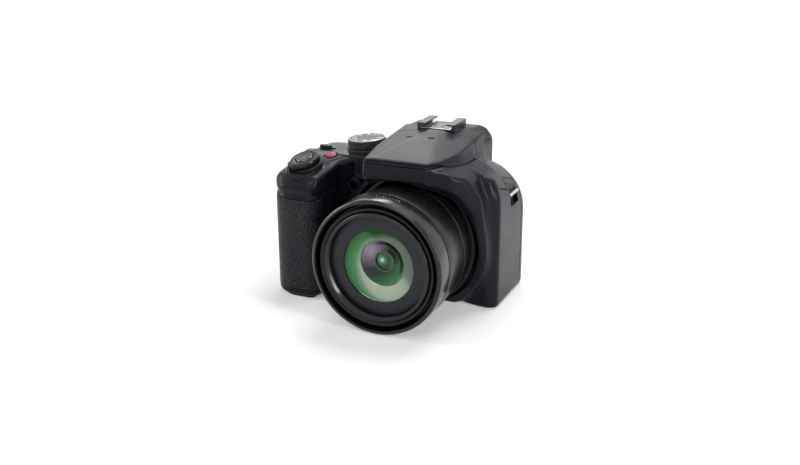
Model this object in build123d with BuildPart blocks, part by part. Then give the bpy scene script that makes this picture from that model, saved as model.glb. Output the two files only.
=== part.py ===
from build123d import *
import math
import os

os.makedirs("parts", exist_ok=True)

# Frame: millimetres, +Z up, the lens looks along -Y and its axis lies in the plane X = 0.
# +X is the camera's own left. The origin is the mouth of the tripod socket, on the base.

# Driving sizes of the whole camera
side_x = 47.0            # left end of the body
grip_x = -83.2           # outer face of the grip
rear_y = 20.0            # rear face of the body
deck_z = 77.8            # crest of the top plate
ridge_z = 91.4           # flat top of the hump
barrel_r = 35.2          # radius of the lens barrel
lens_lift = 1.4          # how far the barrel stays above the table
lens_z = barrel_r + lens_lift
wall = 2.0               # thickness of the casing
seam = 0.3               # gap where two covers meet
play = 0.3               # clearance between a moving piece and its neighbours
fit = 0.05               # radial clearance of a running fit
overrun = 4.0            # how far a cut reaches past what it cuts
reach = 140.0            # longer than the camera is in any direction

# Casing: main body behind the lens
core_x = -58.0           # hidden end of the body, inside the grip
face_y = -24.0           # front face beside the grip
swing_x, swing_y = 26.0, -27.0        # where the front face starts to swing forwards
corner_x, corner_y = 42.0, -31.0      # foremost point of the left front corner
end_y = -27.0            # where that corner meets the left end
base_round = 3.0         # edge round the base
end_round = 7.0          # upright corners of the casing
deck_front_y, deck_front_z = -24.0, 76.6
deck_crest_y = -12.0     # where the top plate is highest
deck_rear_y, deck_rear_z = 7.0, 75.4
rear_brow_z = 70.5       # top edge of the rear face
deck_round = 30.0
shoulder_x, shoulder_y, shoulder_z = 45.0, -28.0, 72.0   # a point on the sloping shoulder
shoulder_lean, shoulder_turn = 45.5, 17.2                # its fall to the left, then its turn rearwards, degrees

# Casing: grip
grip_flat_y = -34.0      # where the outer face turns in to the nose
nose_x, nose_y = -73.5, -57.0
knuckle_x = -49.5        # inner corner of the nose
throat_x, throat_y = -47.5, -30.0     # foot of the finger gap
grip_in_x = -40.0
grip_shoulder_z, grip_top_x, grip_top_z = 65.0, -74.0, 76.4
crown_round = 14.0
grip_brow_y, grip_brow_z = -36.0, 72.8
grip_lip_y, grip_lip_z = -52.0, 70.4
grip_chin_z = 64.5
nose_round, flank_round, throat_round = 15.0, 55.0, 5.0

# Casing: hump over the lens
hump_base_z = 60.0
ridge_x, brow_x, skirt_x, foot_x = 5.0, 23.8, 24.4, 25.0
brow_z, skirt_z = 90.4, 79.0
facet_lean, facet_turn = 9.1, -43.7   # fall of the side facets, then their turn forwards, degrees
hump_wide_y = -24.0
hump_front_x, hump_front_y = 20.0, -56.0
hump_rear_y = 10.0
flash_lip_y, flash_lip_z = -54.0, 85.0
ridge_front_y = -6.0
band_foot_z = 75.0

# Casing: hood round the eye-level finder
hood_x, hood_top_x = 24.0, 20.5
hood_rear_y, hood_front_y = 27.5, -2.0
hood_top_z, hood_side_z, hood_brow_z = 91.2, 80.0, 82.0
hood_round = 8.0

# Casing: cowl that flares round the lens barrel
barrel_gap, bore_wall, cowl_flare = 3.3, 1.8, 3.5
bore_r = barrel_r + barrel_gap        # opening that the barrel stands in
cowl_r = bore_r + bore_wall + cowl_flare   # outer radius under the lens
cowl_left_x, cowl_left_z = -38.0, 58.0
cowl_right_x = 43.6
cowl_back_y = -10.0
sill_x, sill_thick = 14.0, 1.0        # strip of the base that closes the bore under the barrel
cowl_plan = [((-42.0, cowl_back_y), 0), ((-42.0, -22.0), 0), ((-40.0, -36.0), 4.0), ((-22.0, -40.0), 0),
             ((-19.5, -56.5), 2.0), ((14.0, -56.5), 10.0), ((28.0, -50.0), 12.0), ((38.0, -41.0), 8.0),
             ((cowl_right_x, -37.0), 4.0), ((45.5, -28.0), 4.0), ((45.5, cowl_back_y), 0)]
cowl_crown = [(40.0, 64.0), (34.0, 76.5), (22.0, 81.5), (-21.0, 81.5), (-24.0, 70.0)]
cowl_side = [((cowl_back_y, 0.0), 0), ((cowl_back_y, 82.0), 0), ((-54.0, 82.0), 2.0), ((-56.5, 74.5), 2.0),
             ((-47.0, 68.0), 10.0), ((-40.5, 56.0), 10.0), ((-38.0, lens_z), 20.0), ((-35.0, 14.0), 10.0),
             ((-28.0, 0.0), 0)]

# Seams between the covers
rear_seam_y = 11.0       # front cover to rear cover
top_seam_z = 82.6        # front cover to top cover, on the hump
deck_edge_y = -22.0      # front edge of the top plate beside the hump
deck_edge = [((-75.5, rear_seam_y), 0), ((-75.5, -38.0), 10.0), ((-66.5, -54.0), 9.0), ((-56.0, -54.0), 5.5),
             ((-52.8, -31.0), 12.0), ((-44.0, deck_edge_y), 10.0), ((24.0, deck_edge_y), 0),
             ((24.0, rear_seam_y), 0)]
deck_edge_z = 66.0
pad_edge_x, pad_edge_y, pad_edge_z = 44.6, -24.5, 54.0   # limits of the top cover on the shoulder

# Lens barrel, stations along Y and radii about the lens axis
rim_front_y, rim_back_y = -85.0, -73.2
barrel_front_y, barrel_back_y = -72.8, -22.0
ring_y, band_y = -66.0, -60.0
collar_front_y, collar_back_y = -38.0, -36.6
spigot_y = -69.0
rim_edge = 0.6
barrel_wall, rim_stand, rim_wall, band_stand, collar_stand, spigot_drop = 1.9, 1.0, 2.2, 0.6, 1.3, 0.8
barrel_bore_r = barrel_r - barrel_wall
rim_r = ring_r = barrel_r + rim_stand
rim_mouth_r = rim_r - rim_wall
band_r = barrel_r + band_stand
collar_r = barrel_r + collar_stand
spigot_r = barrel_r - spigot_drop

# Zoom mechanism
zoom_travel_1, zoom_travel_2 = 30.0, 28.0
cam_turn = 100.0         # degrees that the cam ring turns over its whole travel
cam_wall, cam_gap, tube_gap, tube_wall = 1.6, 0.7, 0.3, 1.1
cam_r_out = barrel_bore_r - cam_gap
cam_r_in = cam_r_out - cam_wall
cam_front_y, cam_back_y = -78.0, -14.0
slot_reach = 4.0         # length of the slot cutter across the ring's wall
follower_y, follower_r, follower_stand = -30.0, 1.0, 0.3
follower_tip_r = cam_r_out + follower_stand
followers = 3
slot_half = follower_r + play
gear_module = 0.8
ring_teeth, pinion_teeth = 84, 13
gear_front_y, gear_back_y = -18.6, -14.8
gear_backlash = 0.12
gear_addendum, pressure_angle, flank_steps, tooth_foot = 0.64, 20.0, 3, 0.4
sector_spare = 13.0      # degrees of teeth beyond the travel at each end
pinion_bearing = 160.0   # degrees from +X about the lens axis, seen from the front
rod_r, rod_ring_r, rod_front_y, rod_hold = 1.2, 24.2, -66.0, 0.8

# Lens housing
flange_y, flange_back_y = barrel_back_y, -19.6
housing_back_y, shelf_back_y = -13.5, -11.5
housing_wall, tunnel_r, tunnel_wall, flange_grip = 1.3, 27.0, 1.5, 1.7
housing_r = barrel_r
flange_r = bore_r + flange_grip
tunnel_back_y, plate_back_y = 2.0, 4.0
floor_clear = 0.1

# Lens tubes
stage_front_y = -83.9
stage_1_collar_y, stage_1_stand = -80.0, 1.1
stage_1_back_y, stage_1_flange = -26.0, 2.0
stage_1_r = cam_r_in - tube_gap
stage_1_bore_r = stage_1_r - tube_wall
stage_1_collar_r = stage_1_r + stage_1_stand
sleeve_r, sleeve_bore_r, sleeve_front_y = 21.6, 20.4, -64.0
stage_2_wall, stage_2_back_y, stage_2_flange = 1.2, -31.5, 1.8
stage_2_r = stage_1_bore_r - tube_gap
stage_2_bore_r = stage_2_r - stage_2_wall
filter_r, filter_front_y, filter_back_y, filter_step = 27.5, -84.4, -81.0, 0.3
cell_r, cell_back_y = 21.3, -76.0
baffle_front_y, baffle_back_y, baffle_r = -74.4, -71.4, 12.2

# Controls on the top plate
shutter_x, shutter_y, shutter_z, shutter_tilt, shutter_lean = -62.5, -39.5, 73.6, 16.0, -8.0
shutter_r, shutter_low, shutter_high, shutter_dome = 5.0, -3.0, 5.0, 1.2
lever_r, lever_low, lever_high = 8.4, 0.7, 4.3
hub_r, hub_bore_r, hub_low, hub_flange_r, hub_flange = 6.4, 5.3, -5.3, 7.2, 0.8
lever_tab_x, lever_tab_out, lever_tab_bearing = 8.0, 10.2, -125.0
dial_x, dial_y, dial_z, dial_lean = -40.0, -8.0, 77.5, -4.0
dial_r, dial_low, dial_high, dial_grooves, dial_groove = 11.0, 1.3, 6.3, 40, 0.35
dial_stem_r, dial_stem_low, dial_detent_r, dial_detent = 4.0, -4.3, 6.0, 1.0
seat_high, seat_deep, seat_rim = 0.4, 4.0, 0.6        # raised ring under the lever and the dial
movie_x, movie_y, movie_z, movie_tilt, movie_r = -55.2, -24.2, 76.0, 12.0, 3.2
burst_x, burst_y, burst_z, burst_lean, burst_r = -69.0, -22.0, 76.3, -4.0, 2.6
power_x, power_y, power_z, power_lean, power_travel = -62.5, -12.5, 76.6, -1.0, 4.0
power_knob_x, power_knob_y, power_knob = 7.0, 3.4, 1.6
power_neck_x, power_neck_y, power_plate_x, power_plate_y, power_plate = 4.0, 2.0, 6.0, 4.0, 0.8

# Flash
hinge_y, hinge_z, root_r = -8.2, 87.6, 3.75
flash_turn = 38.0        # degrees that the head rises
head_foot_z = 84.0
head_wall = 1.6
pin_r = 1.0
pin_x = 14.0             # half length of the hinge pin
bay_floor = 0.9
cheek_x, cheek_thick, cheek_r = 10.0, 2.0, 2.2
lamp_half_x, lamp_back_y, lamp_foot_y, lamp_foot_z = 15.0, -30.0, -42.0, 78.0
lamp_face = 8.4          # height of the slanted face that carries the window
window_x, window_high, window_thick = 26.0, 7.4, 1.2
trough_r, trough_x, tube_r, tube_x = 3.0, 22.0, 1.5, 25.0
mic_x, mic_y, mic_r, mic_thick, mic_slot_x, mic_slot_y = 5.9, -22.0, 1.9, 1.5, 3.0, 0.8

# Accessory shoe, to the common standard for camera flashes
shoe_z = 91.5            # face that the foot slides on
shoe_slot_x, shoe_slot_z, shoe_gap_x = 18.7, 2.0, 12.6
shoe_x, shoe_front_y, shoe_long = 22.0, -3.6, 18.6
shoe_lip, shoe_plate = 0.8, 0.7
shoe_bed_rim, shoe_bed_z = 0.8, 86.0
contact_r, contact_out, contact_x, contact_y = 1.1, 0.15, 4.6, 4.2
shoe_middle_y = shoe_front_y + shoe_long / 2
contact_spots = [(0, shoe_middle_y), (-contact_x, shoe_middle_y - contact_y), (0, shoe_middle_y - contact_y),
                 (contact_x, shoe_middle_y - contact_y)]

# Rear panel
screen_x, screen_z, screen_wide, screen_high = 5.0, 31.5, 68.0, 50.0
screen_rim = 2.0
glass_thick = 1.1
panel_front_y = 15.0
eye_z, eye_wide, eye_high = 72.6, 26.0, 12.0
eyecup_x, eyecup_z_low, eyecup_z_high, eyecup_y = 20.0, 65.0, 80.2, 34.2
eyecup_round, eye_round, eyecup_edge, eye_flare = 6.0, 4.0, 2.0, 1.2
pad_x, pad_z, pad_r, pad_hole_r, set_r = -52.0, 25.0, 12.5, 6.0, 5.6
button_out, button_flange_r, button_flange, button_edge, button_travel = 0.9, 0.8, 0.8, 0.3, 0.5
playback_x, playback_z, playback_r = -38.0, 46.0, 3.2
lvf_x, lvf_z, lvf_r = -36.0, 62.5, 3.0
disp_x, menu_x, low_button_z, low_button_r = -42.0, -62.0, 8.5, 3.0
rear_dial_x, rear_dial_z, rear_dial_r, rear_dial_wide, rear_dial_out = -62.0, 60.5, 8.5, 4.0, 1.6
rear_dial_grooves, rear_dial_groove = 30, 0.3
trunnion_r, trunnion_long, lug_thick = 1.0, 2.0, 1.6
diopter_y, diopter_z, diopter_r, diopter_out, diopter_deep = 19.0, 75.0, 3.2, 1.4, 0.8
diopter_stem_r, diopter_cap_r = 1.0, 1.8

# Base
socket_r, thread_r, thread_deep, socket_deep = 6.0, 3.175, 6.5, 8.0
socket_flange_r, socket_flange = 8.0, 1.5

# Battery, card and their door
battery_x, battery_y = -76.0, -40.5
battery_wide, battery_long, battery_high = 21.0, 35.0, 42.0
chamber_wall = 0.8
card_thick, card_wide, card_high, card_y = 2.1, 24.0, 32.0, -38.0
door_hinge_x, door_edge, door_thick, door_rear_y = -52.0, 3.4, 1.8, 3.0
door_hinge_back = 1.2    # the door's plate stops this far short of its hinge line
door_pin_grip = 4.0      # length of pin held at each end
latch_x, latch_y, latch_long, latch_wide, latch_deep, latch_travel = -77.0, -23.0, 5.0, 5.4, 1.2, 4.0
latch_ribs, latch_groove = 3, 0.6
door_knuckle_front_y, door_knuckle_back_y = -40.0, -4.0
door_pin_r, door_knuckle_r = 0.5, 0.95

# Socket door on the end of the grip
port_y_low, port_y_high, port_z_low, port_z_high = -15.0, 8.0, 24.0, 50.0
port_knuckle_r, port_pad, port_thick = 1.0, 2.4, 1.6
usb_z, usb_long, usb_high = 44.0, 7.4, 2.6
video_z, video_long, video_high = 34.0, 9.2, 3.4
jack_lip, jack_deep = 0.5, 1.2

# Strap lugs, one at each end
strap_y_low, strap_y_high, strap_deep, strap_wall = -8.0, 6.0, 3.6, 1.6
strap_z_low, strap_z_high, strap_right_high = 53.0, 76.0, 61.0
strap_bar_r, strap_bar_z, strap_bar_in = 0.9, 59.0, 1.7

# Rubber skin of the grip
skin_low_z, skin_high_z, skin_x, skin_rear_y, skin_thick = 5.0, 57.5, -48.6, -19.0, 1.0

# Focus-assist lamp beside the lens
lamp_x, lamp_z, lamp_boss_r, lamp_r, lamp_out, lamp_thick = -39.0, 61.0, 4.0, 2.6, 4.5, 1.4

# Speaker behind holes in the shoulder
speaker_x, speaker_y, speaker_r, speaker_thick = 36.5, -6.0, 5.0, 3.0
speaker_holes, speaker_hole_r, speaker_step = 6, 0.6, 2.4

# Optics
element_front_r, element_front_y, element_lip_y, element_lip_r, element_sag = 21.2, -79.6, -75.6, 20.0, 1.2
element_face_r = 20.3
ring_in_r, ring_front_y, ring_slope = 20.5, -80.9, 0.4
ring_seat_r = filter_r - filter_step
second_thick, second_sag = 2.4, 1.2
iris_r, iris_front_y, iris_back_y = 7.0, -63.6, -60.0
rear_r, rear_lip_r, rear_collar_r, rear_front_y, rear_sag = 9.0, 8.2, 10.6, -2.0, 0.8

# Inner works
chassis_front_y, chassis_back_y, chassis_high_x = 7.5, 8.5, 38.0
chassis_low_z, chassis_high_z, chassis_foot_x, chassis_foot = 4.0, 64.0, 30.0, 8.0
post_r, post_spread = 2.0, 17.0
shelf_x, shelf_y, shelf_thick = 13.0, 24.0, 2.0
board_thick, board_low_x, board_high_x, board_low_z, board_high_z = 1.2, -44.0, 39.0, 8.0, 60.0
chip, chip_thick, chip_x, chip_z = 12.0, 1.2, 18.0, 16.0
sensor_x, sensor_z = 18.0, 15.0
finder_x, finder_high, finder_front_y = 12.5, 12.4, 6.0
ocular_x, ocular_high, ocular_thick = 20.0, 10.0, 1.6
motor_r, motor_back_y, shaft_r = 5.8, 4.0, 1.0
shaft_front_y, pinion_front_y = -18.9, -18.4
base_lug_r, shaft_hole_r, pinion_window_r = 6.5, 1.2, 6.2
capacitor_x, capacitor_r, capacitor_front_y, capacitor_back_y = 39.0, 5.0, -20.0, 5.0
bracket_low_z, bracket_high_z, bracket_thick = 8.0, 40.0, 1.0

lens_plane = Plane(origin=(0, 0, lens_z), x_dir=(0, 1, 0), z_dir=(1, 0, 0))
lens_axis = Axis((0, 0, lens_z), (0, 1, 0))
base_plane = Plane.XY
front_plane = Plane.XZ
end_plane = Plane.YZ


def save(body, name):
    """Label a finished piece and write it to its file."""
    body.label = name
    export_step(body, f"parts/{name}.step")


def rounded(corners, inset=0.0):
    """A closed outline, each corner rounded by its own radius, then drawn in by inset."""
    with BuildSketch() as shape:
        with BuildLine():
            Polyline(*[point for point, _ in corners], close=True)
        make_face()
        for point, radius in corners:
            if radius:
                fillet(shape.vertices().sort_by_distance((*point, 0))[0], radius)
        if inset:
            offset(amount=-inset, mode=Mode.REPLACE)
    return shape.sketch


def mass(plan, front, side, inset=0.0):
    """What lies inside a plan, a front view and a side view at once."""
    with BuildPart() as block:
        with BuildSketch(base_plane):
            add(rounded(plan, inset) if isinstance(plan, list) else plan(inset))
        extrude(amount=reach, both=True)
        for plane, view in ((end_plane, side), (front_plane, front)):
            with BuildSketch(plane):
                add(rounded(view, inset) if isinstance(view, list) else view(inset))
            extrude(amount=reach, both=True, mode=Mode.INTERSECT)
    return block.part


def box_between(low, high):
    """A block given by its two opposite corners."""
    with BuildPart() as block:
        with BuildSketch(Plane.XY.offset(low[2])):
            with Locations(((low[0] + high[0]) / 2, (low[1] + high[1]) / 2)):
                Rectangle(high[0] - low[0], high[1] - low[1])
        extrude(amount=high[2] - low[2])
    return block.part


def turned(stations):
    """A solid of revolution about the lens axis, from (place along Y, radius) corners."""
    with BuildPart() as body:
        with BuildSketch(lens_plane):
            with BuildLine():
                Polyline(*stations, close=True)
            make_face()
        revolve(axis=lens_axis)
    return body.part


def tube(front_y, back_y, r_out, r_in):
    """A plain tube about the lens axis."""
    return turned([(front_y, r_in), (front_y, r_out), (back_y, r_out), (back_y, r_in)])


def drum(plane, low, high, radius, bore=0.0):
    """A disc or ring on a plane, between two heights along its normal."""
    with BuildPart() as body:
        with BuildSketch(plane.offset(low)):
            Circle(radius)
            if bore:
                Circle(bore, mode=Mode.SUBTRACT)
        extrude(amount=high - low)
    return body.part


def rod(start, end, radius):
    """A round rod between two points."""
    run = Vector(*end) - Vector(*start)
    return drum(Plane(origin=start, z_dir=run), 0.0, run.length, radius)


def grooved_disc(radius, grooves, depth):
    """A disc whose rim is cut by V grooves, as one outline."""
    tips = [(radius - depth * (turn % 2), math.pi * turn / grooves) for turn in range(2 * grooves)]
    with BuildSketch() as disc:
        Polygon(*[(r * math.cos(angle), r * math.sin(angle)) for r, angle in tips], align=None)
    return disc.sketch


# Outer form of the casing, and the same form drawn in by a wall

def grip_plan_corners():
    """Plan of the grip: flat outer face, round nose and hollow inner side."""
    return [((grip_x, rear_y), end_round), ((grip_x, grip_flat_y), flank_round),
            ((nose_x, nose_y), nose_round), ((knuckle_x, nose_y), end_round),
            ((throat_x, throat_y), throat_round), ((grip_in_x, face_y), 0), ((grip_in_x, rear_y), 0)]


def slab(inset=0.0):
    """The main body, with its sloping shoulder on the left."""
    plan = [((core_x, rear_y), 0), ((core_x, face_y), 0), ((swing_x, face_y), 0), ((swing_x, swing_y), 0),
            ((corner_x, corner_y), base_round), ((side_x, end_y), base_round), ((side_x, rear_y), end_round)]
    core_top_z = deck_z + (deck_z - grip_top_z) * core_x / -grip_top_x
    front = [((core_x, 0), 0), ((side_x, 0), base_round), ((side_x, deck_z), 0), ((0, deck_z), 0),
             ((core_x, core_top_z), 0)]
    side = [((rear_y, 0), base_round), ((rear_y, rear_brow_z), base_round),
            ((deck_rear_y, deck_rear_z), deck_round), ((deck_crest_y, deck_z), deck_round),
            ((deck_front_y, deck_front_z), 0), ((corner_y, deck_front_z), 0), ((corner_y, 0), base_round)]
    block = mass(plan, front, side, inset)
    with BuildPart() as body:
        add(block)
        with BuildSketch(shoulder_plane(inset)):
            Rectangle(reach, reach)
        extrude(amount=reach, mode=Mode.SUBTRACT)
    return body.part


def shoulder_plane(inset=0.0):
    """Plane of the sloping shoulder, facing outwards."""
    lean, turn = math.radians(shoulder_lean), math.radians(shoulder_turn)
    facing = Vector(math.sin(lean) * math.cos(turn), math.sin(lean) * math.sin(turn), math.cos(lean))
    return Plane(origin=Vector(shoulder_x, shoulder_y, shoulder_z) - facing * inset, z_dir=facing)


def grip(inset=0.0):
    """The hand grip with its domed top."""
    front = [((grip_x, 0), base_round), ((0, 0), 0), ((0, deck_z), 0),
             ((grip_top_x, grip_top_z), crown_round), ((grip_x, grip_shoulder_z), crown_round)]
    side = [((rear_y, 0), base_round), ((rear_y, rear_brow_z), base_round),
            ((deck_rear_y, deck_rear_z), deck_round), ((deck_crest_y, deck_z), deck_round),
            ((deck_front_y, deck_front_z), crown_round), ((grip_brow_y, grip_brow_z), crown_round), ((grip_lip_y, grip_lip_z), 3.0), ((nose_y, grip_chin_z), 3.0),
            ((nose_y, 0), base_round)]
    return mass(grip_plan_corners(), front, side, inset)


def facet_plane(side, inset=0.0):
    """Plane of the hump's side facet; side is 1 for the camera's left and -1 for its right."""
    lean, turn = math.radians(facet_lean), math.radians(facet_turn)
    facing = Vector(side * math.sin(lean) * math.cos(turn), math.sin(lean) * math.sin(turn), math.cos(lean))
    return Plane(origin=Vector(side * ridge_x, ridge_front_y, ridge_z) - facing * inset, z_dir=facing)


def hump(inset=0.0):
    """The faceted hump that carries the flash."""
    plan = [((-skirt_x, hump_rear_y), 0), ((-foot_x, hump_wide_y), 0), ((-hump_front_x, hump_front_y), 3.0),
            ((hump_front_x, hump_front_y), 3.0), ((foot_x, hump_wide_y), 0), ((skirt_x, hump_rear_y), 0)]
    front = [((-foot_x, hump_base_z), 0), ((foot_x, hump_base_z), 0), ((skirt_x, skirt_z), 0),
             ((brow_x, brow_z), 2.0), ((ridge_x, ridge_z), 0), ((-ridge_x, ridge_z), 0),
             ((-brow_x, brow_z), 2.0), ((-skirt_x, skirt_z), 0)]
    side = [((hump_rear_y, hump_base_z), 0), ((hump_rear_y, ridge_z), 0), ((ridge_front_y, ridge_z), 8.0),
            ((flash_lip_y, flash_lip_z), 1.5), ((hump_front_y, band_foot_z), 0),
            ((hump_wide_y, band_foot_z), 0), ((hump_wide_y, hump_base_z), 0)]
    block = mass(plan, front, side, inset)
    with BuildPart() as body:
        add(block)
        for end in (1, -1):
            with BuildSketch(facet_plane(end, inset)):
                Rectangle(reach, reach)
            extrude(amount=reach, mode=Mode.SUBTRACT)
    return body.part


def hood(inset=0.0):
    """The housing of the eye-level finder, behind the hump."""
    plan = [((-hood_x, hood_front_y), 0), ((hood_x, hood_front_y), 0), ((hood_x, hood_rear_y), base_round),
            ((-hood_x, hood_rear_y), base_round)]
    front = [((-hood_x, hump_base_z), 0), ((hood_x, hump_base_z), 0), ((hood_x, hood_side_z), hood_round),
             ((hood_top_x, hood_top_z), hood_round - 2 * base_round / 3), ((-hood_top_x, hood_top_z), 6.0),
             ((-hood_x, hood_side_z), hood_round)]
    side = [((hood_rear_y, hump_base_z), 0), ((hood_rear_y, hood_brow_z), 5.0),
            ((rear_y, hood_top_z), 10.0), ((hump_rear_y, hood_top_z), 0), ((hood_front_y, skirt_z), 0),
            ((hood_front_y, hump_base_z), 0)]
    return mass(plan, front, side, inset)


def cowl_view(inset=0.0):
    """Front view of the cowl: round under the lens, drawn up to the hump above it."""
    with BuildSketch() as view:
        with BuildLine():
            ThreePointArc((cowl_left_x, cowl_left_z), (0, lens_z - cowl_r), (cowl_right_x, lens_z))
            Polyline((cowl_right_x, lens_z), *cowl_crown, (cowl_left_x, cowl_left_z))
        make_face()
        if inset:
            offset(amount=-inset, mode=Mode.REPLACE)
    return view.sketch


def cowl(inset=0.0):
    """The flared cowl round the barrel, with its brow."""
    body = mass(cowl_plan, cowl_view, cowl_side, inset)
    with BuildPart() as block:
        add(body)
        add(box_between((-reach, -reach, inset), (reach, reach, reach)), mode=Mode.INTERSECT)
    return block.part


def camera_form(inset=0.0):
    """The whole casing as one closed form."""
    masses = [slab(inset), grip(inset), hump(inset), hood(inset), cowl(inset)]
    with BuildPart() as form:
        for piece in masses:
            add(piece)
    return form.part


# Zones that say which cover a stretch of the casing belongs to

def top_zone(grow=0.0):
    """Everything that belongs to the top cover, grown by the seam for its neighbours."""
    with BuildPart() as zone:
        with BuildSketch(Plane.XY.offset(deck_edge_z - grow)):
            add(rounded(deck_edge, -grow))
        extrude(amount=reach)
        add(box_between((0, pad_edge_y - grow, pad_edge_z - grow), (pad_edge_x + grow, rear_seam_y, reach)))
        add(box_between((-foot_x - overrun, -reach, top_seam_z - grow), (foot_x + overrun, reach, reach)))
        gap = seam - grow
        add(box_between((side_x - strap_deep - strap_wall - gap, strap_y_low - strap_wall - gap, 0),
                        (reach, strap_y_high + strap_wall + gap, reach)), mode=Mode.SUBTRACT)
    return zone.part


def rear_zone(grow=0.0):
    """Everything behind the seam of the rear cover and below the hump."""
    return box_between((-reach, rear_seam_y - grow, -reach), (reach, reach, top_seam_z - grow))


def head_zone():
    """The flash head: the front of the hump, ending behind in a round root about its hinge."""
    with BuildPart() as zone:
        add(box_between((-reach, -reach, head_foot_z), (reach, hinge_y, reach)))
        with BuildSketch(Plane.YZ):
            with Locations((hinge_y, hinge_z)):
                Circle(root_r)
        extrude(amount=reach, both=True)
    return zone.part


def door_outline(grow=0.0):
    """Plan of the battery door: the grip's own outline drawn in, cut straight at hinge and rear."""
    with BuildSketch() as plan:
        add(rounded(grip_plan_corners(), door_edge - grow))
        with Locations((door_hinge_x - door_hinge_back + 2 * grow + reach, 0)):
            Rectangle(2 * reach, 2 * reach, mode=Mode.SUBTRACT)
        with Locations((0, door_rear_y + grow + reach)):
            Rectangle(2 * reach, 2 * reach, mode=Mode.SUBTRACT)
    return plan.sketch


outer = camera_form()
inner = camera_form(wall)
grip_outer = grip()
grip_inner = grip(skin_thick)
head_inner = hump(head_wall)
with BuildPart() as shell:
    add(outer)
    add(inner, mode=Mode.SUBTRACT)

# Rubber skin of the grip: a band of the grip's outer form

with BuildPart() as grip_cover:
    add(grip_outer)
    add(grip_inner, mode=Mode.SUBTRACT)
    add(box_between((-reach, -reach, skin_low_z), (skin_x, skin_rear_y, skin_high_z)), mode=Mode.INTERSECT)
save(grip_cover.part, "grip_cover")

# Front cover

with BuildPart() as bore_sleeve:
    add(tube(-reach, barrel_back_y, bore_r + bore_wall, bore_r))
    add(outer, mode=Mode.INTERSECT)


def strap_pocket(end_x, side, z_high, grow=0.0):
    """Block of the pocket behind a strap bar; side is 1 where it opens to +X."""
    deep = end_x - side * (strap_deep + grow)
    far = end_x + side * overrun
    return box_between((min(deep, far), strap_y_low - grow, strap_z_low - grow),
                       (max(deep, far), strap_y_high + grow, z_high))


port_floor_x = grip_x + port_pad
with BuildPart() as front_liners:
    add(strap_pocket(side_x, 1, strap_z_high, strap_wall))
    add(strap_pocket(grip_x, -1, strap_right_high + strap_wall, strap_wall))
    add(box_between((grip_x, port_y_low - wall, port_z_low - wall),
                    (port_floor_x + wall, port_y_high + wall, port_z_high + wall)))
    add(outer, mode=Mode.INTERSECT)

lamp_plane = Plane(origin=(lamp_x, face_y + wall, lamp_z), z_dir=(0, -1, 0))
port_hinge_y = port_y_low + port_knuckle_r
port_hinge_x = grip_x + port_knuckle_r
jack_y = (port_y_low + port_y_high) / 2 + port_knuckle_r
jacks = [(usb_z, usb_long, usb_high), (video_z, video_long, video_high)]

with BuildPart() as sill:
    add(box_between((-sill_x, -reach, 0), (sill_x, barrel_back_y, sill_thick)))
    add(outer, mode=Mode.INTERSECT)

door_pin_ends = ((door_hinge_x, door_knuckle_front_y - door_pin_grip, door_thick / 2),
                 (door_hinge_x, door_knuckle_back_y + door_pin_grip, door_thick / 2))
port_pin_ends = ((port_hinge_x, port_hinge_y, port_z_low - wall + fit),
                 (port_hinge_x, port_hinge_y, port_z_high + wall - fit))

with BuildPart() as front_cover:
    add(shell.part)
    add(bore_sleeve.part)
    add(front_liners.part)
    add(drum(lamp_plane, 0, wall + lamp_out, lamp_boss_r))
    add(tube(-reach, barrel_back_y, bore_r, 0), mode=Mode.SUBTRACT)
    add(top_zone(seam), mode=Mode.SUBTRACT)
    add(rear_zone(seam), mode=Mode.SUBTRACT)
    add(grip_cover.part, mode=Mode.SUBTRACT)
    add(strap_pocket(side_x, 1, reach), mode=Mode.SUBTRACT)
    add(strap_pocket(grip_x, -1, strap_right_high), mode=Mode.SUBTRACT)
    add(drum(lamp_plane, -overrun, wall + lamp_out + overrun, lamp_r), mode=Mode.SUBTRACT)
    with BuildSketch(base_plane):
        add(door_outline(play))
        with Locations((door_hinge_x, (door_knuckle_front_y + door_knuckle_back_y) / 2)):
            Rectangle(2 * (door_knuckle_r + play), door_knuckle_back_y - door_knuckle_front_y + 2 * play)
    extrude(amount=wall, mode=Mode.SUBTRACT)
    add(drum(base_plane, -overrun, wall + overrun, socket_r), mode=Mode.SUBTRACT)
    add(box_between((grip_x - overrun, port_y_low - play, port_z_low - play),
                    (port_floor_x, port_y_high + play, port_z_high + play)), mode=Mode.SUBTRACT)
    for place_z, long, high in jacks:
        add(box_between((port_floor_x - overrun, jack_y - long / 2 - fit, place_z - high / 2 - fit),
                        (port_floor_x + wall + overrun, jack_y + long / 2 + fit, place_z + high / 2 + fit)),
            mode=Mode.SUBTRACT)
    add(rod(*door_pin_ends, door_pin_r + fit), mode=Mode.SUBTRACT)
    add(rod(*port_pin_ends, door_pin_r + fit), mode=Mode.SUBTRACT)
    add(sill.part)
save(front_cover.part.solids().sort_by(SortBy.VOLUME)[-1], "front_cover")

# Rear cover and its controls

dial_centre_y = rear_y + rear_dial_out - rear_dial_r
dial_slot = math.sqrt(rear_dial_r ** 2 - (rear_y - wall - dial_centre_y) ** 2) + play
rear_buttons = [("playback_button", playback_x, playback_z, playback_r), ("lvf_button", lvf_x, lvf_z, lvf_r),
                ("disp_button", disp_x, low_button_z, low_button_r),
                ("menu_button", menu_x, low_button_z, low_button_r)]


def panel_plane(x, z):
    """Plane on the rear face of the body, facing outwards."""
    return Plane(origin=(x, rear_y, z), z_dir=(0, 1, 0))


def press_button(plane, radius, depth, high, bore=0.0):
    """A round press button with the inner flange that keeps it in a wall of this depth."""
    with BuildPart() as button:
        add(drum(plane, -depth - play - button_flange, high, radius, bore))
        add(drum(plane, -depth - play - button_flange, -depth - play, radius + button_flange_r, bore))
        top = button.faces().sort_by_distance(plane.offset(high).origin)[0]
        chamfer(top.edges(), button_edge)
    return button.part


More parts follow.
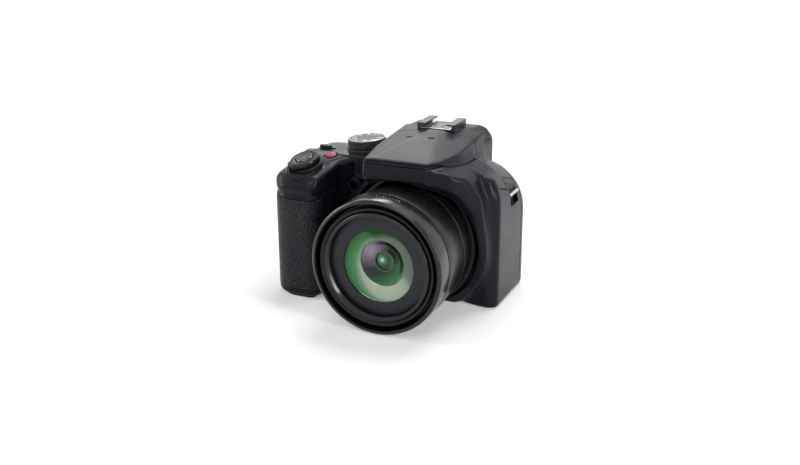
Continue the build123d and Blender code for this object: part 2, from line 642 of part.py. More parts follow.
def rounded_bar(plane, wide, high, corner, low, top):
    """A bar with rounded corners in a plane, between two heights along its normal."""
    with BuildPart() as bar:
        with BuildSketch(plane.offset(low)):
            RectangleRounded(wide, high, corner)
        extrude(amount=top - low)
    return bar.part


screen_plane = Plane(origin=(screen_x, rear_y, screen_z), x_dir=(1, 0, 0), z_dir=(0, 1, 0))
eye_plane = Plane(origin=(0, hood_rear_y, eye_z), x_dir=(1, 0, 0), z_dir=(0, 1, 0))
diopter_plane = Plane(origin=(-hood_x, diopter_y, diopter_z), z_dir=(-1, 0, 0))
pad_plane = panel_plane(pad_x, pad_z)

with BuildPart() as rear_cover:
    add(shell.part)
    add(rear_zone(), mode=Mode.INTERSECT)
    for low in (rear_dial_z - rear_dial_wide / 2 - play - lug_thick, rear_dial_z + rear_dial_wide / 2 + play):
        add(box_between((rear_dial_x - 2 * trunnion_r, dial_centre_y - 2 * trunnion_r, low),
                        (rear_dial_x + 2 * trunnion_r, rear_y - wall / 2, low + lug_thick)))
    add(box_between((rear_dial_x - dial_slot, rear_y - wall, rear_dial_z - rear_dial_wide / 2 - play),
                    (rear_dial_x + dial_slot, rear_y + overrun, rear_dial_z + rear_dial_wide / 2 + play)),
        mode=Mode.SUBTRACT)
    add(rod((rear_dial_x, dial_centre_y, rear_dial_z - rear_dial_r),
            (rear_dial_x, dial_centre_y, rear_dial_z + rear_dial_r), trunnion_r + fit), mode=Mode.SUBTRACT)
    add(rounded_bar(screen_plane, screen_wide + 2 * fit, screen_high + 2 * fit, screen_rim, -glass_thick, overrun),
        mode=Mode.SUBTRACT)
    add(rounded_bar(screen_plane, screen_wide - 2 * screen_rim, screen_high - 2 * screen_rim, screen_rim / 2,
                    -wall - overrun, overrun), mode=Mode.SUBTRACT)
    add(rounded_bar(eye_plane, eye_wide, eye_high, eye_round, -wall - overrun, overrun), mode=Mode.SUBTRACT)
    for name, x, z, radius in rear_buttons:
        add(drum(panel_plane(x, z), -wall - overrun, overrun, radius + play), mode=Mode.SUBTRACT)
    add(drum(pad_plane, -wall - overrun, overrun, pad_r + play), mode=Mode.SUBTRACT)
    add(drum(diopter_plane, -diopter_deep, overrun, diopter_r + play), mode=Mode.SUBTRACT)
    add(drum(diopter_plane, -wall - overrun, overrun, diopter_stem_r + fit), mode=Mode.SUBTRACT)
save(rear_cover.part, "rear_cover")

for name, x, z, radius in rear_buttons:
    save(press_button(panel_plane(x, z), radius, wall, button_out), name)
save(press_button(pad_plane, pad_r, wall, button_out, pad_hole_r), "cursor_pad")
save(press_button(pad_plane, set_r - play, wall + play + button_flange + button_travel, button_out), "set_button")

with BuildPart() as rear_dial:
    with BuildSketch(Plane.XY.offset(rear_dial_z - rear_dial_wide / 2)):
        with Locations((rear_dial_x, dial_centre_y)):
            add(grooved_disc(rear_dial_r, rear_dial_grooves, rear_dial_groove))
    extrude(amount=rear_dial_wide)
    add(rod((rear_dial_x, dial_centre_y, rear_dial_z - rear_dial_wide / 2 - trunnion_long),
            (rear_dial_x, dial_centre_y, rear_dial_z + rear_dial_wide / 2 + trunnion_long), trunnion_r))
save(rear_dial.part, "rear_dial")

with BuildPart() as diopter_dial:
    add(drum(diopter_plane, play - diopter_deep, diopter_out, diopter_r))
    add(drum(diopter_plane, -wall - play, diopter_out, diopter_stem_r))
    add(drum(diopter_plane, -wall - play - button_flange, -wall - play, diopter_cap_r))
save(diopter_dial.part, "diopter_dial")

save(rounded_bar(screen_plane, screen_wide, screen_high, screen_rim, -glass_thick, 0), "lcd_window")
save(rounded_bar(screen_plane, screen_wide - 2 * screen_rim - 2 * play, screen_high - 2 * screen_rim - 2 * play,
                 screen_rim / 2, panel_front_y - rear_y, -glass_thick), "lcd_panel")

with BuildPart() as eyecup:
    cup_middle = (eyecup_z_low + eyecup_z_high) / 2
    with BuildSketch(Plane(origin=(0, hood_rear_y, cup_middle), x_dir=(1, 0, 0), z_dir=(0, 1, 0))):
        RectangleRounded(2 * eyecup_x, eyecup_z_high - eyecup_z_low, eyecup_round)
    extrude(amount=eyecup_y - hood_rear_y)
    fillet(eyecup.faces().sort_by(Axis.Y)[-1].edges(), eyecup_edge)
    add(rounded_bar(eye_plane, eye_wide, eye_high, eye_round, -overrun, eyecup_y - hood_rear_y + overrun),
        mode=Mode.SUBTRACT)
save(eyecup.part, "eyecup")

# Top cover

bay_floor_z = top_seam_z
bay_y = hinge_y + root_r + seam
shoe_bed_z_high = shoe_z - shoe_plate
shoe_back_y = shoe_front_y + shoe_long
shutter_plane = Plane(origin=(shutter_x, shutter_y, shutter_z)).rotated((shutter_tilt, shutter_lean, 0))
dial_plane = Plane(origin=(dial_x, dial_y, dial_z)).rotated((0, dial_lean, 0))
movie_plane = Plane(origin=(movie_x, movie_y, movie_z)).rotated((movie_tilt, 0, 0))
burst_plane = Plane(origin=(burst_x, burst_y, burst_z)).rotated((0, burst_lean, 0))
power_plane = Plane(origin=(power_x, power_y, power_z)).rotated((0, power_lean, 0))
window_turn = math.radians(flash_turn)
window_facing = Vector(0, -math.cos(window_turn), -math.sin(window_turn))
lamp_brow_y = lamp_foot_y - lamp_face * math.sin(window_turn)
lamp_brow_z = lamp_foot_z + lamp_face * math.cos(window_turn)


def on_shoulder(x, y, inset):
    """The point of the sloping shoulder, drawn in by inset, above a place in plan."""
    slope = shoulder_plane(inset)
    fall = (slope.z_dir.X * (x - slope.origin.X) + slope.z_dir.Y * (y - slope.origin.Y)) / slope.z_dir.Z
    return Vector(x, y, slope.origin.Z - fall)


with BuildPart() as bay:
    add(box_between((-reach, -reach, bay_floor_z), (reach, bay_y + wall, bay_floor_z + bay_floor)))
    add(box_between((-reach, bay_y, bay_floor_z), (reach, bay_y + wall, ridge_z)))
    add(hump(wall / 2), mode=Mode.INTERSECT)
    for side in (-1, 1):
        cheek = side * cheek_x - cheek_thick / 2
        add(box_between((cheek, hinge_y - cheek_r, bay_floor_z), (cheek + cheek_thick, hinge_y + cheek_r, hinge_z)))
        add(rod((cheek, hinge_y, hinge_z), (cheek + cheek_thick, hinge_y, hinge_z), cheek_r))
    add(rod((-reach, hinge_y, hinge_z), (reach, hinge_y, hinge_z), pin_r + fit), mode=Mode.SUBTRACT)

with BuildPart() as seats:
    add(drum(shutter_plane, -seat_deep, seat_high, lever_r + seat_rim))
    add(drum(dial_plane, -seat_deep, dial_low - play, dial_r + seat_rim))
    add(top_zone(), mode=Mode.INTERSECT)

with BuildPart() as top_cover:
    add(shell.part)
    add(top_zone(), mode=Mode.INTERSECT)
    add(rear_zone(seam), mode=Mode.SUBTRACT)
    add(box_between((-reach, -reach, head_foot_z - seam), (reach, bay_y, reach)), mode=Mode.SUBTRACT)
    add(bay.part)
    add(box_between((-lamp_half_x - play, lamp_brow_y - 2 * play, bay_floor_z),
                    (lamp_half_x + play, lamp_back_y + play, reach)), mode=Mode.SUBTRACT)
    add(box_between((-shoe_x / 2 - shoe_bed_rim, bay_y, shoe_bed_z),
                    (shoe_x / 2 + shoe_bed_rim, shoe_back_y + shoe_bed_rim, shoe_bed_z_high)))
    add(seats.part)
    add(box_between((-shoe_x / 2 - fit, shoe_front_y, shoe_bed_z_high), (shoe_x / 2 + fit, shoe_back_y + fit, reach)),
        mode=Mode.SUBTRACT)
    add(drum(shutter_plane, -reach, overrun, hub_r + fit), mode=Mode.SUBTRACT)
    add(drum(dial_plane, -reach, overrun, dial_stem_r + fit), mode=Mode.SUBTRACT)
    add(drum(movie_plane, -2 * wall, overrun, movie_r + play), mode=Mode.SUBTRACT)
    add(drum(burst_plane, -2 * wall, overrun, burst_r + play), mode=Mode.SUBTRACT)
    add(rounded_bar(power_plane, power_neck_x + power_travel + 2 * play, power_neck_y + 2 * play, power_neck_y / 2,
                    -2 * wall, overrun), mode=Mode.SUBTRACT)
    for row in range(speaker_holes):
        spot = on_shoulder(speaker_x + speaker_step * (row % 2 - 1 / 2), speaker_y + speaker_step * (row // 2 - 1), 0)
        add(drum(Plane(origin=spot, z_dir=shoulder_plane().z_dir), -2 * wall, overrun, speaker_hole_r),
            mode=Mode.SUBTRACT)
save(top_cover.part, "top_cover")

# Controls on the top cover

with BuildPart() as zoom_lever:
    add(drum(shutter_plane, lever_low, lever_high, lever_r))
    with BuildSketch(shutter_plane.offset(lever_low)):
        with Locations(Location((0, 0, 0), (0, 0, lever_tab_bearing))):
            with Locations((lever_tab_out / 2, 0)):
                Rectangle(lever_tab_out, lever_tab_x)
    extrude(amount=lever_high - lever_low)
    add(drum(shutter_plane, hub_low, lever_low, hub_r))
    add(drum(shutter_plane, hub_low - hub_flange, hub_low, hub_flange_r))
    add(drum(shutter_plane, -reach, reach, hub_bore_r), mode=Mode.SUBTRACT)
save(zoom_lever.part, "zoom_lever")

with BuildPart() as shutter_button:
    add(drum(shutter_plane, shutter_low, shutter_high, shutter_r))
    fillet(shutter_button.faces().sort_by_distance(shutter_plane.offset(shutter_high).origin)[0].edges(), shutter_dome)
save(shutter_button.part, "shutter_button")

with BuildPart() as mode_dial:
    with BuildSketch(dial_plane.offset(dial_low)):
        add(grooved_disc(dial_r, dial_grooves, dial_groove))
    extrude(amount=dial_high - dial_low)
    add(drum(dial_plane, dial_stem_low, dial_low, dial_stem_r))
    add(drum(dial_plane, dial_stem_low - dial_detent, dial_stem_low, dial_detent_r))
save(mode_dial.part, "mode_dial")

save(press_button(movie_plane, movie_r, 2 * wall, button_out), "movie_button")
save(press_button(burst_plane, burst_r, 2 * wall, button_out), "burst_button")

with BuildPart() as power_switch:
    rest = power_plane.shift_origin(power_plane.from_local_coords((-power_travel / 2, 0, 0)))
    add(rounded_bar(rest, power_knob_x, power_knob_y, power_neck_y / 2, play, power_knob))
    add(rounded_bar(rest, power_neck_x, power_neck_y, power_neck_y / 4, -wall - 2 * play, play))
    add(rounded_bar(rest, power_plate_x, power_plate_y, power_neck_y / 4, -wall - 2 * play - power_plate,
                    -wall - 2 * play))
save(power_switch.part, "power_switch")

# Flash

with BuildPart() as flash_lamp:
    with BuildSketch(end_plane.offset(-lamp_half_x)):
        with BuildLine():
            Polyline((lamp_foot_y, lamp_foot_z), (lamp_brow_y, lamp_brow_z), (lamp_brow_y, ridge_z),
                     (lamp_back_y, ridge_z), (lamp_back_y, lamp_foot_z), close=True)
        make_face()
    extrude(amount=2 * lamp_half_x)
    add(hump(head_wall / 2), mode=Mode.INTERSECT)

window_middle = Vector(0, (lamp_foot_y + lamp_brow_y) / 2, (lamp_foot_z + lamp_brow_z) / 2)
window_plane = Plane(origin=window_middle, x_dir=(1, 0, 0), z_dir=window_facing)
tube_middle = window_middle - window_facing * (window_thick + trough_r - tube_r / 2)
top_slope = math.degrees(math.atan2(ridge_z - flash_lip_z, ridge_front_y - flash_lip_y))


def mic_plane(side):
    """Plane on top of the flash head over one of the two microphones."""
    height = flash_lip_z + (mic_y - flash_lip_y) * math.tan(math.radians(top_slope))
    return Plane(origin=(side * mic_x, mic_y, height)).rotated((top_slope, 0, 0))


with BuildPart() as head_hollow:
    add(head_inner)
    add(box_between((-reach, -reach, 0), (reach, hinge_y - root_r, reach)), mode=Mode.INTERSECT)

with BuildPart() as flash_head:
    add(outer)
    add(head_zone(), mode=Mode.INTERSECT)
    add(head_hollow.part, mode=Mode.SUBTRACT)
    add(flash_lamp.part)
    add(rounded_bar(window_plane, window_x + 2 * fit, window_high + 2 * fit, window_thick / 2, -window_thick, overrun),
        mode=Mode.SUBTRACT)
    add(rod(tube_middle - Vector(trough_x / 2, 0, 0), tube_middle + Vector(trough_x / 2, 0, 0), trough_r),
        mode=Mode.SUBTRACT)
    add(rod(tube_middle - Vector(tube_x / 2, 0, 0), tube_middle + Vector(tube_x / 2, 0, 0), tube_r + fit),
        mode=Mode.SUBTRACT)
    add(rod((-pin_x - fit, hinge_y, hinge_z), (pin_x + fit, hinge_y, hinge_z), pin_r + fit), mode=Mode.SUBTRACT)
    for side in (-1, 1):
        cheek = side * cheek_x - cheek_thick / 2 - play
        add(box_between((cheek, hinge_y - cheek_r - play, 0),
                        (cheek + cheek_thick + 2 * play, reach, hinge_z + cheek_r + play)), mode=Mode.SUBTRACT)
        add(rounded_bar(mic_plane(side), mic_slot_x, mic_slot_y, mic_slot_y / 4, -2 * head_wall, overrun),
            mode=Mode.SUBTRACT)
save(flash_head.part, "flash_head")

save(rounded_bar(window_plane, window_x, window_high, window_thick / 2, -window_thick, 0), "flash_window")
save(rod(tube_middle - Vector(tube_x / 2, 0, 0), tube_middle + Vector(tube_x / 2, 0, 0), tube_r), "flash_tube")

with BuildPart() as microphones:
    for side in (-1, 1):
        add(drum(mic_plane(side), -head_wall - fit - mic_thick, -head_wall - fit, mic_r))
save(microphones.part, "microphones")

# Accessory shoe

with BuildPart() as hot_shoe:
    shoe_top_z = shoe_z + shoe_slot_z
    with BuildSketch(front_plane.offset(-shoe_back_y)):
        with BuildLine():
            Polyline((-shoe_x / 2, shoe_bed_z_high), (shoe_x / 2, shoe_bed_z_high),
                     (shoe_x / 2, shoe_top_z + shoe_lip), (shoe_gap_x / 2, shoe_top_z + shoe_lip),
                     (shoe_gap_x / 2, shoe_top_z), (shoe_slot_x / 2, shoe_top_z), (shoe_slot_x / 2, shoe_z),
                     (-shoe_slot_x / 2, shoe_z), (-shoe_slot_x / 2, shoe_top_z), (-shoe_gap_x / 2, shoe_top_z),
                     (-shoe_gap_x / 2, shoe_top_z + shoe_lip), (-shoe_x / 2, shoe_top_z + shoe_lip), close=True)
        make_face()
    extrude(amount=shoe_long)
    for x, y in contact_spots:
        add(rod((x, y, shoe_bed_z), (x, y, shoe_z + overrun), contact_r + fit), mode=Mode.SUBTRACT)
save(hot_shoe.part, "hot_shoe")

with BuildPart() as shoe_contacts:
    for x, y in contact_spots:
        add(rod((x, y, shoe_bed_z_high), (x, y, shoe_z + contact_out), contact_r))
save(shoe_contacts.part, "shoe_contacts")

# Base: socket, battery, card and door

with BuildPart() as tripod_socket:
    add(drum(base_plane, 0, socket_deep, socket_r - fit))
    add(drum(base_plane, wall, wall + socket_flange, socket_flange_r))
    add(drum(base_plane, 0, thread_deep, thread_r), mode=Mode.SUBTRACT)
save(tripod_socket.part, "tripod_socket")

battery_z = door_thick + play
card_x = battery_x + battery_wide + play + chamber_wall + play
battery_low = (battery_x, battery_y, battery_z)
battery_high_end = (battery_x + battery_wide, battery_y + battery_long, battery_z + battery_high)
card_low = (card_x, card_y, battery_z)
card_high_end = (card_x + card_thick, card_y + card_wide, battery_z + card_high)
chamber_z = wall + play
chassis_x = card_x + card_thick + play + chamber_wall


def grown(low, high, by):
    """The same box grown by a clearance on every side."""
    return box_between([value - by for value in low], [value + by for value in high])


save(box_between(battery_low, battery_high_end), "battery")
save(box_between(card_low, card_high_end), "memory_card")

with BuildPart() as battery_chamber:
    add(grown(battery_low, battery_high_end, play + chamber_wall))
    add(grown(card_low, card_high_end, play + chamber_wall))
    add(box_between((battery_x - wall, battery_y - wall, -overrun), (chassis_x, reach, chamber_z)), mode=Mode.SUBTRACT)
    add(grown(battery_low, battery_high_end, play), mode=Mode.SUBTRACT)
    add(grown(card_low, card_high_end, play), mode=Mode.SUBTRACT)
    add(box_between((chassis_x - bracket_thick - chamber_wall, battery_high_end[1], bracket_low_z),
                    (chassis_x - chamber_wall, chassis_front_y, bracket_high_z)))
    add(box_between((battery_high_end[0], battery_high_end[1] + play, bracket_low_z),
                    (chassis_x - chamber_wall, battery_high_end[1] + play + bracket_thick, bracket_high_z)))
save(battery_chamber.part, "battery_chamber")

latch_middle = (latch_x + latch_long / 2, latch_y)
with BuildPart() as battery_door:
    with BuildSketch(base_plane):
        add(door_outline())
        with Locations((door_hinge_x - door_hinge_back, (door_knuckle_front_y + door_knuckle_back_y) / 2)):
            Rectangle(2 * door_hinge_back, door_knuckle_back_y - door_knuckle_front_y)
    extrude(amount=door_thick)
    add(rod((door_hinge_x, door_knuckle_front_y, door_thick / 2), (door_hinge_x, door_knuckle_back_y, door_thick / 2),
            door_knuckle_r))
    add(box_between((-reach, -reach, 0), (reach, reach, reach)), mode=Mode.INTERSECT)
    add(rod(*door_pin_ends, door_pin_r + fit), mode=Mode.SUBTRACT)
    add(box_between((latch_x - play, latch_y - latch_wide / 2 - play, -overrun),
                    (latch_x + latch_long + latch_travel + play, latch_y + latch_wide / 2 + play, latch_deep)),
        mode=Mode.SUBTRACT)
save(battery_door.part, "battery_door")

with BuildPart() as battery_latch:
    add(box_between((latch_x, latch_y - latch_wide / 2, fit), (latch_x + latch_long, latch_y + latch_wide / 2,
                                                              latch_deep - fit)))
    for rib in range(latch_ribs):
        place = latch_x + latch_long * (rib + 1) / (latch_ribs + 1)
        add(box_between((place - latch_groove / 2, latch_y - latch_wide / 2, 0),
                        (place + latch_groove / 2, latch_y + latch_wide / 2, fit + latch_groove / 2)), mode=Mode.SUBTRACT)
save(battery_latch.part, "battery_latch")

# Socket door and sockets on the end of the grip

with BuildPart() as terminal_door:
    add(box_between((grip_x, port_hinge_y, port_z_low), (grip_x + port_thick, port_y_high, port_z_high)))
    add(rod((port_hinge_x, port_hinge_y, port_z_low), (port_hinge_x, port_hinge_y, port_z_high), port_knuckle_r))
    add(rod(*port_pin_ends, door_pin_r + fit), mode=Mode.SUBTRACT)
save(terminal_door.part, "terminal_door")

with BuildPart() as terminal_sockets:
    for place_z, long, high in jacks:
        add(box_between((port_floor_x, jack_y - long / 2, place_z - high / 2),
                        (port_floor_x + wall, jack_y + long / 2, place_z + high / 2)))
        add(box_between((port_floor_x - overrun, jack_y - long / 2 + jack_lip, place_z - high / 2 + jack_lip),
                        (port_floor_x + jack_deep, jack_y + long / 2 - jack_lip, place_z + high / 2 - jack_lip)),
            mode=Mode.SUBTRACT)
save(terminal_sockets.part, "terminal_sockets")

with BuildPart() as hinge_pins:
    add(rod((-pin_x, hinge_y, hinge_z), (pin_x, hinge_y, hinge_z), pin_r))
    add(rod(*door_pin_ends, door_pin_r))
    add(rod(*port_pin_ends, door_pin_r))
save(hinge_pins.part, "hinge_pins")

with BuildPart() as strap_lugs:
    for bar_x in (side_x - strap_bar_in, grip_x + strap_bar_in):
        add(rod((bar_x, strap_y_low, strap_bar_z), (bar_x, strap_y_high, strap_bar_z), strap_bar_r))
save(strap_lugs.part, "strap_lugs")

with BuildPart() as af_lamp:
    add(drum(lamp_plane, wall + lamp_out - lamp_thick, wall + lamp_out, lamp_r - fit))
    fillet(af_lamp.edges().sort_by(Axis.Y)[0], lamp_thick / 2)
save(af_lamp.part, "af_lamp")

speaker_plane = Plane(origin=on_shoulder(speaker_x, speaker_y, wall), z_dir=shoulder_plane().z_dir)
save(drum(speaker_plane, -speaker_thick, 0, speaker_r), "speaker")

# Lens barrel and its housing

barrel_stations = [(barrel_front_y, spigot_r + fit), (barrel_front_y, ring_r), (ring_y, ring_r), (ring_y, band_r),
                   (band_y, band_r), (band_y, barrel_r), (collar_front_y, barrel_r), (collar_front_y, collar_r),
                   (collar_back_y, collar_r), (collar_back_y, barrel_r), (barrel_back_y, barrel_r),
                   (barrel_back_y, barrel_bore_r), (spigot_y, barrel_bore_r), (spigot_y, spigot_r + fit)]
save(turned(barrel_stations), "fixed_barrel")

with BuildPart() as front_rim:
    add(turned([(rim_front_y, rim_mouth_r), (rim_front_y, rim_r), (rim_back_y, rim_r), (rim_back_y, spigot_r),
                (spigot_y - fit, spigot_r), (spigot_y - fit, barrel_bore_r), (rim_back_y, barrel_bore_r),
                (rim_back_y, rim_mouth_r)]))
    chamfer(front_rim.edges().group_by(Axis.Y)[0], rim_edge)
save(front_rim.part, "front_rim")

pinion_distance = gear_module * (ring_teeth + pinion_teeth) / 2
pinion_angle = math.radians(pinion_bearing)
pinion_x = pinion_distance * math.cos(pinion_angle)
pinion_z = lens_z + pinion_distance * math.sin(pinion_angle)
base_clear_z = wall + floor_clear


def along(front_y, back_y, radius, bore=0.0):
    """A disc or ring about the pinion's shaft."""
    return drum(Plane(origin=(pinion_x, back_y, pinion_z), z_dir=(0, -1, 0)), 0, back_y - front_y, radius, bore)


def rod_spots(y):
    """Where the guide rods stand, in a plane across the lens."""
    return [(rod_ring_r * math.sin(turn), y, lens_z + rod_ring_r * math.cos(turn))
            for turn in [2 * math.pi * place / followers for place in range(followers)]]


with BuildPart() as lens_base:
    add(turned([(flange_y, barrel_bore_r), (flange_y, flange_r), (flange_back_y, flange_r),
                (flange_back_y, housing_r + housing_wall), (shelf_back_y, housing_r + housing_wall),
                (shelf_back_y, tunnel_r), (plate_back_y, tunnel_r), (plate_back_y, rear_lip_r),
                (tunnel_back_y, rear_lip_r), (tunnel_back_y, rear_r + fit), (rear_front_y, rear_r + fit),
                (rear_front_y, rear_collar_r), (tunnel_back_y, rear_collar_r), (tunnel_back_y, tunnel_r - tunnel_wall),
                (shelf_back_y, tunnel_r - tunnel_wall), (shelf_back_y, rod_ring_r - rod_r - rod_hold),
                (housing_back_y, rod_ring_r - rod_r - rod_hold), (housing_back_y, housing_r),
                (flange_back_y, housing_r), (flange_back_y, barrel_bore_r)]))
    add(along(housing_back_y, shelf_back_y, base_lug_r))
    add(along(flange_back_y, housing_back_y, pinion_window_r), mode=Mode.SUBTRACT)
    add(along(housing_back_y - overrun, shelf_back_y + overrun, shaft_hole_r), mode=Mode.SUBTRACT)
    for spot in rod_spots(0):
        add(rod((spot[0], housing_back_y - overrun, spot[2]), (spot[0], shelf_back_y + overrun, spot[2]), rod_r + fit),
            mode=Mode.SUBTRACT)
    add(box_between((-reach, -reach, -reach), (reach, reach, base_clear_z)), mode=Mode.SUBTRACT)
save(lens_base.part, "lens_base")

with BuildPart() as guide_rods:
    for spot in rod_spots(0):
        add(rod((spot[0], rod_front_y, spot[2]), (spot[0], shelf_back_y, spot[2]), rod_r))
save(guide_rods.part, "guide_rods")

# Zoom mechanism: cam ring with helical slots, driven by a pinion, pushes the tubes along the guide rods

pressure = math.radians(pressure_angle)


def involute(angle):
    """The involute function, tangent less angle."""
    return math.tan(angle) - angle


def tooth_outline(teeth, root, tip, middle, backlash):
    """Corners of one gear tooth about the gear's axis, with involute flanks."""
    pitch = gear_module * teeth / 2
    base = pitch * math.cos(pressure)
    half = math.pi / (2 * teeth) - backlash / (2 * pitch) + involute(pressure)
    flank = [max(root, base) + (tip - max(root, base)) * step / flank_steps for step in range(flank_steps + 1)]
    widths = [(root, half)] if root < base else []
    widths += [(radius, half - involute(math.acos(base / radius))) for radius in flank]
    left = [(radius * math.cos(middle - turn), radius * math.sin(middle - turn)) for radius, turn in widths]
    right = [(radius * math.cos(middle + turn), radius * math.sin(middle + turn)) for radius, turn in reversed(widths)]
    inside = root - tooth_foot
    return [(inside * math.cos(middle), inside * math.sin(middle)), *left, *right]


def gear_sketch(teeth, root, tip, middles, backlash):
    """Teeth at the given angles, as faces about the origin of a sketch."""
    with BuildSketch() as drawing:
        for middle in middles:
            with BuildLine():
                Polyline(*tooth_outline(teeth, root, tip, middle, backlash), close=True)
            make_face()
    return drawing.sketch


# In this plane +x is the camera's left and +y is up, seen from behind
gear_plane = Plane(origin=(0, gear_back_y, lens_z), x_dir=(1, 0, 0), z_dir=(0, -1, 0))
ring_pitch_r = gear_module * ring_teeth / 2
pinion_pitch_r = gear_module * pinion_teeth / 2
tooth_step = 2 * math.pi / ring_teeth
sector_teeth = math.ceil(math.radians(cam_turn + 2 * sector_spare) / tooth_step)
first_tooth = round(math.radians(sector_spare) / tooth_step)
ring_middles = [pinion_angle + (index - first_tooth) * tooth_step for index in range(sector_teeth)]
pinion_middles = [pinion_angle + math.pi + (index + 1 / 2) * 2 * math.pi / pinion_teeth
                  for index in range(pinion_teeth)]

with BuildPart() as slot_cutter:
    with BuildLine() as slot_path:
        Helix(pitch=zoom_travel_1 * 360 / cam_turn, height=zoom_travel_1, radius=(cam_r_in + cam_r_out) / 2,
              center=(0, follower_y, lens_z), direction=(0, -1, 0))
    start = slot_path.line @ 0
    heading = slot_path.line % 0
    outward = Vector(start.X, 0, start.Z - lens_z).normalized()
    with BuildSketch(Plane(origin=start, x_dir=outward, z_dir=heading)):
        Rectangle(slot_reach, 2 * slot_half)
    sweep(is_frenet=True)
    for end in (slot_path.line @ 0, slot_path.line @ 1):
        away = Vector(end.X, 0, end.Z - lens_z).normalized()
        add(rod(end - away * slot_reach / 2, end + away * slot_reach / 2, slot_half))

follower_angle = math.atan2(start.Z - lens_z, start.X)

with BuildPart() as cam_ring:
    add(tube(cam_front_y, cam_back_y, cam_r_out, cam_r_in))
    for index in range(followers):
        add(slot_cutter.part.rotate(lens_axis, index * 360 / followers), mode=Mode.SUBTRACT)
    with BuildSketch(gear_plane):
        add(gear_sketch(ring_teeth, ring_pitch_r - gear_module, ring_pitch_r + gear_addendum, ring_middles, gear_backlash))
    extrude(amount=gear_back_y - gear_front_y)
    add(tube(gear_front_y, gear_back_y, ring_pitch_r - gear_module, cam_r_in))
    add(tube(-reach, reach, cam_r_in, 0), mode=Mode.SUBTRACT)
save(cam_ring.part, "cam_ring")

with BuildPart() as zoom_gear:
    with BuildSketch(Plane(origin=(pinion_x, gear_back_y, pinion_z), x_dir=(1, 0, 0), z_dir=(0, -1, 0))):
        Circle(pinion_pitch_r - gear_module)
        add(gear_sketch(pinion_teeth, pinion_pitch_r - gear_module, pinion_pitch_r + gear_addendum, pinion_middles,
                        gear_backlash))
        Circle(shaft_r + fit, mode=Mode.SUBTRACT)
    extrude(amount=gear_back_y - gear_front_y)
save(zoom_gear.part, "zoom_gear")

with BuildPart() as zoom_motor:
    add(along(shelf_back_y, motor_back_y, motor_r))
    add(along(shaft_front_y, shelf_back_y, shaft_r))
save(zoom_motor.part, "zoom_motor")

with BuildPart() as lens_stage_1:
    add(turned([(stage_front_y, stage_1_bore_r), (stage_front_y, stage_1_collar_r),
                (stage_1_collar_y, stage_1_collar_r), (stage_1_collar_y, stage_1_r), (stage_1_back_y, stage_1_r),
                (stage_1_back_y, sleeve_bore_r), (sleeve_front_y, sleeve_bore_r), (sleeve_front_y, sleeve_r),
                (stage_1_back_y - stage_1_flange, sleeve_r), (stage_1_back_y - stage_1_flange, stage_1_bore_r)]))
    for index in range(followers):
        turn = follower_angle + index * 2 * math.pi / followers
        out = Vector(math.cos(turn), 0, math.sin(turn))
        middle = Vector(0, follower_y, lens_z)
        add(rod(middle + out * stage_1_bore_r, middle + out * follower_tip_r, follower_r))
    add(tube(stage_1_back_y - overrun - stage_1_flange, stage_1_back_y - stage_1_flange, stage_1_bore_r, sleeve_r),
        mode=Mode.SUBTRACT)
    for spot in rod_spots(0):
        add(rod((spot[0], stage_1_back_y - 2 * stage_1_flange, spot[2]), (spot[0], stage_1_back_y + overrun, spot[2]),
                rod_r + fit), mode=Mode.SUBTRACT)
save(lens_stage_1.part, "lens_stage_1")

with BuildPart() as lens_stage_2:
    add(turned([(filter_front_y, filter_r), (filter_front_y, stage_2_r), (stage_2_back_y, stage_2_r),
                (stage_2_back_y, sleeve_r + play), (stage_2_back_y - stage_2_flange, sleeve_r + play),
                (stage_2_back_y - stage_2_flange, stage_2_bore_r), (baffle_back_y, stage_2_bore_r),
                (baffle_back_y, baffle_r), (baffle_front_y, baffle_r), (baffle_front_y, element_lip_r),
                (element_lip_y, element_lip_r), (element_lip_y, element_front_r + fit),
                (element_front_y, element_front_r + fit), (element_front_y, ring_seat_r),
                (filter_back_y, ring_seat_r), (filter_back_y, filter_r)]))
    for spot in rod_spots(0):
        add(rod((spot[0], stage_2_back_y - stage_2_flange - overrun, spot[2]),
                (spot[0], stage_2_back_y + overrun, spot[2]), rod_r + fit), mode=Mode.SUBTRACT)
save(lens_stage_2.part, "lens_stage_2")


def lens_element(front_y, back_y, radius, face_r, front_sag, back_sag):
    """A glass element, its faces bulging by their own sags."""
    with BuildPart() as glass:
        with BuildSketch(lens_plane):
            with BuildLine():
                Polyline((back_y + back_sag, 0), (front_y - front_sag, 0))
                ThreePointArc((front_y - front_sag, 0), arc_middle(front_y, -front_sag, face_r), (front_y, face_r))
                Polyline((front_y, face_r), (front_y, radius), (back_y, radius))
                if back_sag:
                    ThreePointArc((back_y, radius), arc_middle(back_y, back_sag, radius), (back_y + back_sag, 0))
                else:
                    Line((back_y, radius), (back_y, 0))
            make_face()
        revolve(axis=lens_axis)
    return glass.part


def arc_middle(edge_y, sag, radius):
    """A point midway on the arc of a lens face."""
    sphere = (radius ** 2 + sag ** 2) / (2 * abs(sag))
    drop = sphere - math.sqrt(sphere ** 2 - (radius / 2) ** 2)
    return (edge_y + math.copysign(abs(sag) - drop, sag), radius / 2)


save(lens_element(element_front_y, element_lip_y, element_front_r, element_face_r, element_sag, 0), "front_element")
save(lens_element(baffle_back_y - second_thick, baffle_back_y - fit, baffle_r - fit, baffle_r - play, second_sag, 0),
     "second_element")
save(lens_element(rear_front_y + rear_sag, tunnel_back_y, rear_r, rear_r - play, rear_sag, 0), "rear_element")

with BuildPart() as name_ring:
    add(turned([(element_front_y, ring_in_r), (ring_front_y + ring_slope, ring_in_r), (ring_front_y, ring_seat_r - fit),
                (element_front_y, ring_seat_r - fit)]))
save(name_ring.part, "name_ring")

save(tube(iris_front_y, iris_back_y, sleeve_bore_r - fit, iris_r), "aperture_unit")

# Inner works

